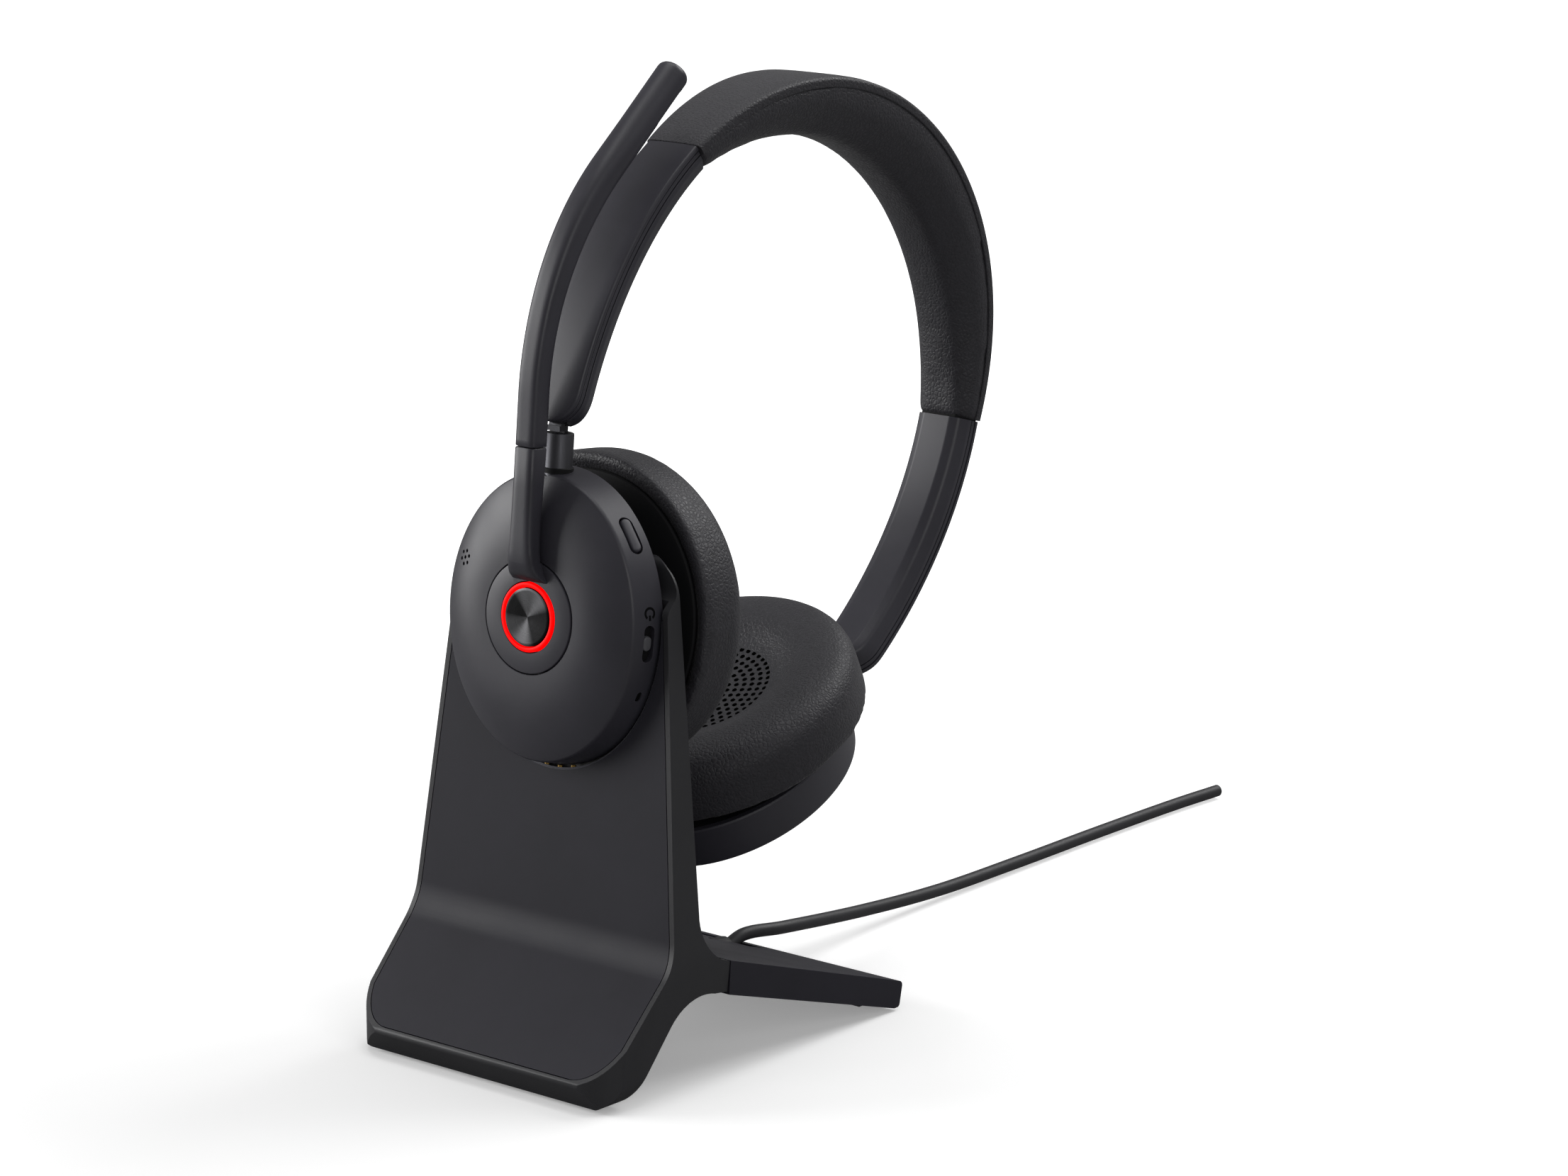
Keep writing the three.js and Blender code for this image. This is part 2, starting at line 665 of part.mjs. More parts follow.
/** One level of the domed face between a round hub and the oval edge. */
function faceLevel(share, hubRadius, inset, depth) {
  return [
    THREE.MathUtils.lerp(hubRadius, CUP.faceHalfWidth - inset, share),
    THREE.MathUtils.lerp(hubRadius, CUP.faceHalfHeight - inset, share),
    faceFall(share) + depth,
    CUP.drop * share,
  ];
}

const COVER_SEGMENTS = 48;
const SHARES = [0.2, 0.4, 0.6, 0.8, 0.93];

function wallLevels(inset, rimDepth = CUP.rimDepth) {
  const { faceHalfWidth, faceHalfHeight, faceDepth, rimHalfWidth, rimHalfHeight, drop } = CUP;
  return [
    [faceHalfWidth - inset, faceHalfHeight - inset, faceDepth + inset * 0.9, drop],
    [faceHalfWidth + 0.35 - inset, faceHalfHeight + 0.3 - inset, faceDepth + 0.7 + inset * 0.9, drop],
    [rimHalfWidth - inset, rimHalfHeight - inset, rimDepth, drop],
  ];
}

/** Outer shell of the near cup, with a well for the boom's hub. */
function nearCoverBlank() {
  const well = BOOM.discRadius + GAP;
  const bore = BOOM.axleRadius + GAP;
  const floor = BOOM.discThickness + GAP;
  return ovals([
    [bore, bore, floor],
    [well, well, floor],
    [well, well, 0.3],
    ...SHARES.map((share) => faceLevel(share, well, 0, 0)),
    ...wallLevels(0),
    ...wallLevels(CUP.wall).reverse(),
    ...[0.75, 0.35].map((share) => faceLevel(share, well + 1.8, CUP.wall, CUP.wall + 0.3)),
    [well + 1.2, well + 1.2, floor + 1.6],
    [bore, bore, floor + 1.6],
  ], COVER_SEGMENTS, true);
}

/** Outer shell of the far cup: a plain dome. */
function farCoverBlank() {
  return ovals([
    [4, 4, 0.2],
    [9, 9.5, 0.2],
    ...SHARES.map((share) => faceLevel(share, 13, 0, 0)),
    ...wallLevels(0, CUP.farRimDepth),
    ...wallLevels(CUP.wall, CUP.farRimDepth).reverse(),
    ...[0.75, 0.35].map((share) => faceLevel(share, 14.8, CUP.wall, CUP.wall + 0.2)),
    [4, 4, 1.9],
  ], COVER_SEGMENTS);
}

const MIC_HOLES = { x: -21.6, z: 10.3, pitch: 1.55, radius: 0.36 };
const PILL = { angle: 40.2 * RAD, depth: 8.3, length: 8.2, width: 2.6 };
const SWITCH = { angle: -3.4 * RAD, depth: 8.4, length: 8.4, width: 2.8, knob: 3.4 };
const LED = { angle: -25.4 * RAD, depth: 9, length: 2.2, width: 1 };
const POCKET = [-4, 3];                // how deep a recess for a key goes, and how far its tool stands out

function nearCover() {
  const mics = [[0, 0]];
  for (let i = 0; i < 6; i += 1) {
    mics.push([Math.cos(i * 60 * RAD + 0.3), Math.sin(i * 60 * RAD + 0.3)]);
  }
  const micTools = mics.map(([a, b]) => rounds([[MIC_HOLES.radius, -2], [MIC_HOLES.radius, 7]], 6)
    .translate(MIC_HOLES.x + a * MIC_HOLES.pitch, 0, MIC_HOLES.z + b * MIC_HOLES.pitch));
  const micTool = fuse(...micTools);
  return cut(nearCoverBlank(), micTool,
    moved(pill(PILL.length + 0.5, PILL.width + 0.5, ...POCKET), rimPlace(PILL.angle, PILL.depth)),
    moved(pill(SWITCH.length, SWITCH.width, ...POCKET), rimPlace(SWITCH.angle, SWITCH.depth)),
    moved(pill(LED.length + 0.4, LED.width + 0.4, ...POCKET), rimPlace(LED.angle, LED.depth)),
    postHole());
}

function farCover() {
  return cut(farCoverBlank(), postHole());
}

/** The hole in the top of a cup's wall that the swivel post passes through. */
function postHole() {
  return rod(POST.radius + GAP, 20, 40, 28, 0, POST.depth);
}

function pillButton() {
  return fuse(pill(PILL.length, PILL.width, -2.9, 0.3), pill(PILL.length + 1.2, PILL.width + 0.6, -3.8, -2.8));
}

const SLIDER_FOOT = [-2.4, 2.4, -1.6, 1.4, -3.5, -2.6];   // the tongue behind the switch's knob

function powerSlider() {
  return fuse(pill(SWITCH.knob, SWITCH.width - 0.5, -2.7, -0.3), box(...SLIDER_FOOT));
}

function statusLed() {
  return pill(LED.length, LED.width, -2.6, -0.05);
}

function cupBase(rimDepth) {
  const halfWidth = CUP.rimHalfWidth - CUP.wall - GAP - 0.1;
  const halfHeight = CUP.rimHalfHeight - CUP.wall - GAP - 0.1;
  const inner = CUP.neckRadius - 2.4;
  return ovals([
    [inner, inner, rimDepth - CUP.baseThickness],
    [halfWidth, halfHeight, rimDepth - CUP.baseThickness, CUP.drop],
    [halfWidth, halfHeight, rimDepth, CUP.drop],
    [CUP.neckRadius, CUP.neckRadius, rimDepth],
    [CUP.neckRadius, CUP.neckRadius, CUP.neckEnd],
    [inner, inner, CUP.neckEnd],
  ], 32, true);
}

const DRIVER = { magnetRadius: 8, radius: 14, back: 14.8, step: 18.7, front: 21.4 };

function baffle() {
  const bore = DRIVER.radius + GAP;
  const back = CUP.neckEnd + GAP;
  return rounds([
    [bore, back], [CUP.baffleRadius - 0.6, back], [CUP.baffleRadius, back + 0.6],
    [CUP.baffleRadius, back + 1.2], [bore, back + 1.2],
  ], 32, true);
}

function driver() {
  const { magnetRadius, radius, back, step, front } = DRIVER;
  return rounds([
    [magnetRadius, back], [magnetRadius, step], [radius, step + 0.4], [radius, front - 0.4],
    [radius - 0.6, front],
  ], 24);
}

function driverGrille() {
  return rounds([[15.6, DRIVER.front + GAP], [16, DRIVER.front + 0.8], [15.2, DRIVER.front + 1.5]], 24);
}

const CUSHION_RING = { inner: 19, outer: 31.2, thickness: 1 };

/** The stiff ring that clips the cushion to the baffle. */
function cushionRing() {
  const { inner, outer, thickness } = CUSHION_RING;
  const back = CUP.cushionStart;
  return rounds([[inner, back], [outer, back], [outer, back + thickness], [inner, back + thickness]], 36, true);
}

/** The ear cushion: a crowned pad with a shallow dish, hollow at the back for the driver. */
function cushion() {
  const { cushionRadius, cushionStart, cushionFront, cushionRound, dishRadius, dishDepth } = CUP;
  const crest = cushionRadius - cushionRound;
  const levels = [[16.6, 26], [16.6, 22.1], [31.6, 22.1], [31.6, cushionStart]];
  levels.push([cushionRadius - 3.2, cushionStart]);
  levels.push([cushionRadius - 1.2, cushionStart + 1.8]);
  levels.push([cushionRadius - 0.2, cushionStart + 4.2]);
  for (let i = 0; i <= 3; i += 1) {
    const angle = (i * Math.PI) / 6;
    levels.push([crest + cushionRound * Math.cos(angle),
      cushionFront - cushionRound + cushionRound * Math.sin(angle)]);
  }
  levels.push([22.5, cushionFront - 0.7], [dishRadius + 2.5, dishDepth + 2.2], [dishRadius, dishDepth + 0.6]);
  levels.push([8, dishDepth]);
  return rounds(levels, 28);
}

const BUSH = { halfWidth: 6.4, front: 5.4, behind: 3.2, under: 2.4, over: 3 };

/** A snap bush that cradles the post's lower end and keeps it from dropping further. */
function postBush() {
  const { halfWidth, front, behind, under, over } = BUSH;
  const floor = POST.bottom - GAP;
  const block = box(-halfWidth, halfWidth, front, POST.depth + behind, floor - under, floor + over);
  return cut(block, rod(POST.radius + GAP, floor, PAST, 24, 0, POST.depth));
}

/** The swivel post: it turns in the cup and takes the end of the slider strip in a slot. */
function post(slotTool) {
  const { radius, depth, bottom, top } = POST;
  return cut(rod(radius, bottom, top, 28, 0, depth), slotTool);
}

const BOARD = {
  halfWidth: 21, halfHeight: 25, back: 8.4, front: 9.4, drop: 2,
  bushHalfWidth: 8, bushBottom: 18, sideInner: 19, sideBottom: -12,
};

/** The near cup's board, cut back around the post's bush and the keys at the side. */
function circuitBoard() {
  const { halfWidth, halfHeight, back, front, drop } = BOARD;
  const plate = ovals([[halfWidth, halfHeight, back, drop], [halfWidth, halfHeight, front, drop]], 40);
  return cut(plate, box(-BOARD.bushHalfWidth, BOARD.bushHalfWidth, 0, PAST, BOARD.bushBottom, PAST),
    box(BOARD.sideInner, PAST, 0, PAST, BOARD.sideBottom, PAST));
}

function hubSwitch() {
  return rounds([[3.2, 7], [3.2, 8.1]], 16);
}

function battery() {
  return extrudeY(rounded([[-13, -20, 2], [13, -20, 2], [13, 13, 2], [-13, 13, 2]]), 4.2, 9);
}

// ---------------------------------------------------------------- microphone boom

/** Point and direction on the boom's centre line, in cup axes, by height along the boom. */
function boomStation(length) {
  const { straightTop, bendRadius, bendAngle, centreDepth } = BOOM;
  const arc = bendRadius * bendAngle;
  const beyond = length - straightTop;
  if (beyond <= 0) {
    return { y: centreDepth, z: length, turn: 0 };
  }
  const turn = Math.min(beyond, arc) / bendRadius;
  const straight = Math.max(beyond - arc, 0);
  return {
    y: centreDepth + bendRadius * (1 - Math.cos(turn)) + straight * Math.sin(turn),
    z: straightTop + bendRadius * Math.sin(turn) + straight * Math.cos(turn),
    turn,
  };
}

const BOOM_LENGTH = BOOM.straightTop + BOOM.bendRadius * BOOM.bendAngle + BOOM.tipLength;

/** A boom cross-section: eight corners of a chamfered bar, or a ring where it is round. */
function boomRing(length, halfWidth, front, back, roundness) {
  const { y, z, turn } = boomStation(length);
  const ring = [];
  const count = 12;
  for (let i = 0; i < count; i += 1) {
    const angle = ((i + 0.5) * 2 * Math.PI) / count;
    const square = 1 / Math.max(Math.abs(Math.cos(angle)), Math.abs(Math.sin(angle)));
    const reach = Math.min(square, 1.22);
    const scale = THREE.MathUtils.lerp(reach, 1, roundness);
    const middle = (front + back) / 2;
    const across = middle + ((back - front) / 2) * Math.sin(angle) * scale;
    ring.push(new THREE.Vector3(
      halfWidth * Math.cos(angle) * scale,
      y + across * Math.cos(turn),
      z - across * Math.sin(turn)));
  }
  return ring;
}

function boomBase() {
  const { discRadius, discThickness, ringOuter, axleRadius, boreRadius, seam } = BOOM;
  const seat = ringOuter + GAP;
  const disc = rounds([
    [seat, 0], [discRadius - 0.35, 0], [discRadius, 0.35], [discRadius, discThickness],
    [axleRadius, discThickness], [axleRadius, 6.4], [boreRadius, 6.4], [boreRadius, 1.9], [seat, 1.9],
  ], 40, true);
  const levels = [
    [8.6, 5.8, 0.8, 2.4], [9.4, 5, -0.4, 2.4], [10.4, 4.3, -1.5, 2.4], [12, 3.7, -2.3, 2.4],
    [12.6, 3.6, -2.5, 2.4], [12.9, 3.55, -2.6, 1.5], [17, 3.15, -2.95, 1.5], [22, 3, -3, 1.6],
    [30, 2.95, -3, 2.1], [seam, 2.95, -3, 2.4],
  ];
  const rings = levels.map(([length, halfWidth, front, back]) => boomRing(length, halfWidth, front, back, 0));
  return fuse(disc, skin(rings));
}

// Length, width and the two heights of each piece in the slot of the boom's tip.
const MICROPHONE = { slot: [11, 1.7, 1.1, 5], capsule: [9.6, 1.1, 1.4, 2.3], mesh: [10.4, 1.1, 2.6, 3] };

function boomArm() {
  const rings = [];
  const start = BOOM.seam + 0.25;
  const tipStart = BOOM_LENGTH - 16;
  const stations = 22;
  for (let i = 0; i <= stations; i += 1) {
    const length = THREE.MathUtils.lerp(start, BOOM_LENGTH - 1.2, i / stations);
    const share = THREE.MathUtils.smoothstep(length, 60, tipStart);
    const radius = THREE.MathUtils.lerp(BOOM.halfWidth, BOOM.tipRadius, share);
    rings.push(boomRing(length, radius, -radius, THREE.MathUtils.lerp(2.4, radius, share), share));
  }
  for (const [fromEnd, narrowing] of [[0.4, 0.3], [0, 1.1]]) {
    const radius = BOOM.tipRadius - narrowing;
    rings.push(boomRing(BOOM_LENGTH - fromEnd, radius, -radius, radius, 1));
  }
  return cut(skin(rings), moved(pill(...MICROPHONE.slot), micPlace()));
}

/** The slot on the inner side of the boom's tip: x along the boom, z out of the slot. */
function micPlace() {
  const { y, z, turn } = boomStation(BOOM_LENGTH - 9);
  const along = new THREE.Vector3(0, Math.sin(turn), Math.cos(turn));
  const aside = new THREE.Vector3(1, 0, 0);
  const outward = new THREE.Vector3(0, Math.cos(turn), -Math.sin(turn))
    .multiplyScalar(Math.cos(BOOM.microphoneTurn)).addScaledVector(aside, Math.sin(BOOM.microphoneTurn));
  const across = new THREE.Vector3().crossVectors(outward, along);
  return new THREE.Matrix4().makeTranslation(0, y, z)
    .multiply(new THREE.Matrix4().makeBasis(along, across, outward));
}

function lightRing() {
  const { ringOuter, ringInner } = BOOM;
  return rounds([
    [ringInner, -0.15], [ringInner + 0.2, -0.35], [ringOuter - 0.2, -0.35], [ringOuter, -0.15],
    [ringOuter, 1.6], [ringInner, 1.6],
  ], 40, true);
}

function hubButton() {
  const radius = BOOM.ringInner - GAP;
  return rounds([
    [2.2, 5.9], [2.2, 1], [radius, 1], [radius, -0.3], [radius - 0.3, -0.5], [3, -0.3], [0.6, -0.2],
  ], 32);
}

const CLIP = { outer: 9.6, start: 4.6, end: 5.5 };

/** The washer on the boom's axle behind the cup's shell. */
function axleClip() {
  const inner = BOOM.axleRadius + GAP;
  const { outer, start, end } = CLIP;
  return rounds([[inner, start], [outer, start], [outer, end], [inner, end]], 32, true);
}

// ---------------------------------------------------------------- headband

/** Half width of the padded cover: widest at the apex. */
function coverHalfWidth(s) {
  const share = (s / BAND.coverEnd) ** 2;
  return THREE.MathUtils.lerp(BAND.coverHalfWidth, BAND.coverEndHalfWidth, share);
}

function padThickness(s) {
  const share = (s / BAND.coverEnd) ** 2;
  return THREE.MathUtils.lerp(BAND.padThickness, BAND.armThickness, share);
}

const SPLIT = { cover: 2.7, pad: 3.0 };

function bandCover() {
  const section = (s) => {
    const w = coverHalfWidth(s);
    return [[-w, SPLIT.cover], [-w, 1.4], [-w + 0.7, 0.5], [-w * 0.6, 0.08], [0, 0],
      [w * 0.6, 0.08], [w - 0.7, 0.5], [w, 1.4], [w, SPLIT.cover]];
  };
  return sweepBand(-BAND.coverEnd, BAND.coverEnd, 28, section);
}

function bandPad() {
  const section = (s) => {
    const w = coverHalfWidth(s);
    const t = padThickness(s);
    const inner = THREE.MathUtils.lerp(6.9, 6.1, (s / BAND.coverEnd) ** 2);
    return [[-w, SPLIT.pad], [w, SPLIT.pad], [w, SPLIT.pad + (t - SPLIT.pad) * 0.3],
      [(w + inner) / 2, t - (t - SPLIT.pad) * 0.25], [inner * 0.75, t], [0, t + 0.15], [-inner * 0.75, t],
      [-(w + inner) / 2, t - (t - SPLIT.pad) * 0.25], [-w, SPLIT.pad + (t - SPLIT.pad) * 0.3]];
  };
  const end = BAND.coverEnd + 2;
  const groove = sweepBand(-end, end, 28, () => slab(BAND.springHalfWidth + GAP, 2, 4.7));
  return cut(sweepBand(-BAND.coverEnd, BAND.coverEnd, 28, section), groove);
}

function bandSpring() {
  return sweepBand(-BAND.springEnd, BAND.springEnd, 34, () => slab(BAND.springHalfWidth, 3.5, 4.3));
}

/** Rounds the free end of an arm when seen from outside. */
function armShare(s) {
  const beyond = Math.max(Math.abs(s) - (BAND.armEnd - BAND.armRound), 0) / BAND.armRound;
  return Math.sqrt(Math.max(1 - beyond ** 2.4, 0.02));
}

/** Stations along an arm, closer together at the rounded end. */
function sweepArm(side, section) {
  const start = BAND.coverEnd + GAP;
  const lengths = [];
  for (let i = 0; i < 14; i += 1) {
    lengths.push(THREE.MathUtils.lerp(start, BAND.armEnd - BAND.armRound, i / 13));
  }
  for (const share of [0.3, 0.55, 0.75, 0.9, 1]) {
    lengths.push(BAND.armEnd - BAND.armRound + share * BAND.armRound);
  }
  const rings = lengths.map((length) => {
    const { point, inward } = bandStation(side * length);
    return section(length).map(([x, depth]) => point.clone().addScaledVector(inward, depth).setX(x));
  });
  return skin(rings);
}

const ARM = { coverDepth: 1.3, channelHalfWidth: 3.9, channelFloor: 5.6 };

function armCover(side) {
  return sweepArm(side, (length) => {
    const w = BAND.armHalfWidth * armShare(length);
    return [[-w, ARM.coverDepth], [-w, 0.7], [-w + 0.5, 0.2], [-w * 0.6, 0.03], [w * 0.6, 0.03], [w - 0.5, 0.2],
      [w, 0.7], [w, ARM.coverDepth]];
  });
}

function armLiner(side) {
  const body = sweepArm(side, (length) => {
    const share = armShare(length);
    const w = (BAND.armHalfWidth - 0.2) * share;
    const inner = BAND.armInnerHalfWidth * share;
    const t = BAND.armThickness;
    return [[-w, ARM.coverDepth + GAP], [w, ARM.coverDepth + GAP], [w, 3.4], [inner + 0.5, t - 1.2],
      [inner - 0.6, t - 0.15], [0, t], [-inner + 0.6, t - 0.15], [-inner - 0.5, t - 1.2], [-w, 3.4]];
  });
  const from = side * (BAND.coverEnd - 2);
  const to = side * (BAND.armEnd + 3);
  const channel = sweepBand(Math.min(from, to), Math.max(from, to), 24,
    () => slab(ARM.channelHalfWidth, 0.5, ARM.channelFloor));
  return cut(body, channel);
}

// The slider strip is straight: it lies along the tangent of the arm at one station.
const STRIP = {
  station: 146, depth: 4.6, inner: -22, outer: 12.8, halfWidth: 3.3, tabHalfWidth: 1.9, tabEnd: 14.2,
  thickness: 1.2, tailTop: 42.8, tailBottom: 36.7,
};

/** Axes of the slider strip: x across, y out of the arm's free end, z towards the head. */
function stripPlace(side) {
  const { point, inward, along } = bandStation(side * STRIP.station);
  const outOfArm = along.multiplyScalar(side);
  const across = new THREE.Vector3().crossVectors(outOfArm, inward);
  return new THREE.Matrix4().makeTranslation(point.addScaledVector(inward, STRIP.depth))
    .multiply(new THREE.Matrix4().makeBasis(across, outOfArm, inward));
}

function sliderStrip(side) {
  const { inner, outer, halfWidth, tabHalfWidth, tabEnd, thickness, tailTop, tailBottom } = STRIP;
  const half = thickness / 2;
  const cup = side < 0 ? nearCupPlace() : farCupPlace();
  const wide = box(-halfWidth, halfWidth, inner, outer, -half, half);
  const tab = box(-tabHalfWidth, tabHalfWidth, outer - 1, tabEnd, -half, half);
  const tail = box(-tabHalfWidth, tabHalfWidth, POST.depth - half, POST.depth + half, tailBottom, tailTop);
  const foot = box(-tabHalfWidth, tabHalfWidth, POST.depth - 2.2, POST.depth + half, tailTop - 1.2, tailTop);
  return fuse(moved(fuse(wide, tab), stripPlace(side)), moved(fuse(tail, foot), cup));
}

/** Room in the top of the post for the strip's tab. */
function tabSlot() {
  const half = STRIP.tabHalfWidth + GAP;
  const deep = STRIP.thickness / 2 + GAP;
  return box(-half, half, POST.depth - deep, POST.depth + deep, STRIP.tailBottom - GAP, POST.top + 2);
}

// ---------------------------------------------------------------- assembly

const headset = new THREE.Group();
headset.position.set(0, -STAND.frontPadY, 0);

function material(colour) {
  const [color, roughness, metalness] = COLOURS[colour];
  return new THREE.MeshStandardMaterial({ color, roughness, metalness });
}

function add(group, name, geometry, colour, place) {
  const mesh = new THREE.Mesh(geometry, material(colour));
  mesh.name = name;
  if (place) {
    mesh.applyMatrix4(place);
  }
  group.add(mesh);
}

function cupGroup(place) {
  const group = new THREE.Group();
  group.applyMatrix4(place);
  headset.add(group);
  return group;
}

function addStand() {
  add(headset, 'stand_frame', standFrame(), 'darkPlastic');
  add(headset, 'front_panel', frontPanel(), 'charcoal');
  add(headset, 'rear_foot', rearFoot(), 'darkPlastic');
  add(headset, 'foot_base_cover', baseCover(), 'darkPlastic');
  add(headset, 'weight_left', weight(-1), 'steel');
  add(headset, 'weight_right', weight(1), 'steel');
  add(headset, 'base_screw_left', screwBody(-SCREWS.x, 0), 'steel');
  add(headset, 'base_screw_right', screwBody(SCREWS.x, 0), 'steel');
  add(headset, 'front_pad', padBox(PADS.front), 'rubber');
  add(headset, 'rear_pad_left', padBox(PADS.rear, 0, -1), 'rubber');
  add(headset, 'rear_pad_right', padBox(PADS.rear, 0, 1), 'rubber');
  add(headset, 'cable_grommet', grommet(), 'rubber', grommetPlace());
  add(headset, 'usb_lead', lead(CABLE.radius, 40), 'blackCable');
  const upright = cupGroup(nearCupPlace());
  add(upright, 'contact_block', contactHousing(), 'darkPlastic');
  CONTACTS.xs.forEach((x, i) => add(upright, `contact_pin_${i + 1}`, contactPin(x), 'gold'));
  add(upright, 'charging_board', uprightBlock(CHARGING_BOARD), 'greenBoard');
}

/** The pieces that both cups share. */
function addCupInside(group, side) {
  add(group, `${side}_cup_base`, cupBase(side === 'far' ? CUP.farRimDepth : CUP.rimDepth), 'darkPlastic');
  add(group, `${side}_baffle`, baffle(), 'darkPlastic');
  add(group, `${side}_driver`, driver(), 'satinMetal');
  add(group, `${side}_driver_grille`, driverGrille(), 'darkPlastic');
  add(group, `${side}_cushion_ring`, cushionRing(), 'darkPlastic');
  add(group, `${side}_cushion`, cushion(), 'leather');
  add(group, `${side}_post_bush`, postBush(), 'darkPlastic');
  add(group, `${side}_post`, post(tabSlot()), 'satinMetal');
}

function addNearCup() {
  const group = cupGroup(nearCupPlace());
  add(group, 'near_cup_cover', nearCover(), 'charcoal');
  addCupInside(group, 'near');
  add(group, 'near_circuit_board', circuitBoard(), 'greenBoard');
  add(group, 'hub_switch', hubSwitch(), 'silverFoil');
  add(group, 'mute_button', pillButton(), 'charcoal', rimPlace(PILL.angle, PILL.depth));
  add(group, 'power_slider', powerSlider(), 'charcoal', rimPlace(SWITCH.angle, SWITCH.depth));
  add(group, 'status_light', statusLed(), 'clearPlastic', rimPlace(LED.angle, LED.depth));
  add(group, 'boom_base', boomBase(), 'charcoal');
  add(group, 'boom_arm', boomArm(), 'charcoal');
  add(group, 'boom_axle_clip', axleClip(), 'steel');
  add(group, 'light_ring', lightRing(), 'redLight');
  add(group, 'hub_button', hubButton(), 'spunMetal');
  add(group, 'boom_microphone', pill(...MICROPHONE.capsule), 'silverFoil', micPlace());
  add(group, 'microphone_mesh', pill(...MICROPHONE.mesh), 'greyFabric', micPlace());
}

function addFarCup() {
  const group = cupGroup(farCupPlace());
  add(group, 'far_cup_cover', farCover(), 'charcoal');
  addCupInside(group, 'far');
  add(group, 'battery', battery(), 'silverFoil');
}

function addHeadband() {
  add(headset, 'headband_cover', bandCover(), 'leather');
  add(headset, 'headband_pad', bandPad(), 'leather');
  add(headset, 'headband_spring', bandSpring(), 'steel');
  [[-1, 'near'], [1, 'far']].forEach(([side, name]) => {
    add(headset, `${name}_arm_cover`, armCover(side), 'charcoal');
    add(headset, `${name}_arm_liner`, armLiner(side), 'charcoal');
    add(headset, `${name}_slider_strip`, sliderStrip(side), 'steel');
  });
}

addStand();
addNearCup();
addFarCup();
addHeadband();

export default headset;
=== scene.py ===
"""Looks of an office headset hanging in its charging stand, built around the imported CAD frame.

Small shapes are written in millimetres in their own axes and placed by a matrix in metres.
Cup axes: x across the cup, y from the hub face into the cup, z along the cup to the headband.
"""
import json
from math import acos, copysign, cos, hypot, pi, radians, sin, sqrt, tan
from types import SimpleNamespace as Named

import bmesh
import bpy
from mathutils import Matrix, Vector


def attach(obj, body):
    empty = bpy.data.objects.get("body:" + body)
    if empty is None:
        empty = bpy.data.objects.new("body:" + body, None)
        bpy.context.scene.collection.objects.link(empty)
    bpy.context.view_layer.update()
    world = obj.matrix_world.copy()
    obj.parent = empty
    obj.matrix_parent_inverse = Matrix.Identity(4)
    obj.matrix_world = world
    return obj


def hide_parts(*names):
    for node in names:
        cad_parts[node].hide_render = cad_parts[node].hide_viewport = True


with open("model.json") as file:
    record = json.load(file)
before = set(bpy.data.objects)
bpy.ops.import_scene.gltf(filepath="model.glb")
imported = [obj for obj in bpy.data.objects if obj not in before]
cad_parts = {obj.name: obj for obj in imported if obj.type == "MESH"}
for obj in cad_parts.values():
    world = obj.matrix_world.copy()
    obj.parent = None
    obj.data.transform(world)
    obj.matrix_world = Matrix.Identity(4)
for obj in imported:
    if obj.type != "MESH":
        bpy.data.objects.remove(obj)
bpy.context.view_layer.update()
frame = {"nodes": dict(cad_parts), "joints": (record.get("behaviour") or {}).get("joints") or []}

MM = 0.001
GAP = 0.3  # between fixed pieces, in mm


def lerp(a, b, t):
    return a + (b - a) * t


def clamp(value):
    return max(0.0, min(1.0, value))


# ---- places from the frame

def joint(name):
    return next(j for j in frame["joints"] if j["name"] == name)


def placed(x_axis, y_axis, z_axis, origin):
    matrix = Matrix((x_axis, y_axis, z_axis)).transposed().to_4x4()
    matrix.translation = origin
    return matrix


def cup_place(up, across, origin):
    return placed(across, up.cross(across), up, origin)


ACROSS = Vector((1, 0, 0))
NEAR = cup_place(Vector(joint("dock_lift")["axis"]), ACROSS, Vector(joint("boom_rotate")["pos_m"]))
POST_POINT = NEAR.inverted() @ Vector(joint("near_swivel")["pos_m"])
FAR = cup_place(Vector(joint("far_swivel")["axis"]), -ACROSS, Vector((0, 0, 0)))
FAR.translation = Vector(joint("far_swivel")["pos_m"]) - FAR.to_3x3() @ POST_POINT

STAND_FRONT = 4.0  # the origin lies this far behind the front edge
STAND_PLACE = Matrix.Translation((0, -STAND_FRONT * MM, 0))
ROW = Matrix.Identity(4)


# ---- meshes

def linked(name, data):
    """A new object for some data, in the scene."""
    obj = bpy.data.objects.new(name, data)
    bpy.context.scene.collection.objects.link(obj)
    return obj


def make(name, points, faces, place=ROW):
    """A mesh object in the row frame from points in millimetres."""
    mesh = bpy.data.meshes.new(name)
    mesh.from_pydata([place @ (Vector(p) * MM) for p in points], [], faces)
    mesh.validate()
    bm = bmesh.new()
    bm.from_mesh(mesh)
    bmesh.ops.remove_doubles(bm, verts=bm.verts, dist=1e-7)
    bmesh.ops.recalc_face_normals(bm, faces=bm.faces)
    bm.to_mesh(mesh)
    bm.free()
    return linked(name, mesh)


def skin(name, rings, place=ROW, loop=False):
    """A mesh over rings of equal length: its ends are closed by one face each, or it closes on itself."""
    count = len(rings[0])
    points = [p for ring in rings for p in ring]
    faces = []
    for i in range(len(rings) if loop else len(rings) - 1):
        low, high = i * count, ((i + 1) % len(rings)) * count
        for j in range(count):
            k = (j + 1) % count
            faces.append((low + j, low + k, high + k, high + j))
    if not loop:
        faces.append(tuple(range(count)))
        faces.append(tuple(range((len(rings) - 1) * count, len(rings) * count)))
    return make(name, points, faces, place)


def turns(count):
    """Equal angles around a full circle."""
    return [2 * pi * i / count for i in range(count)]


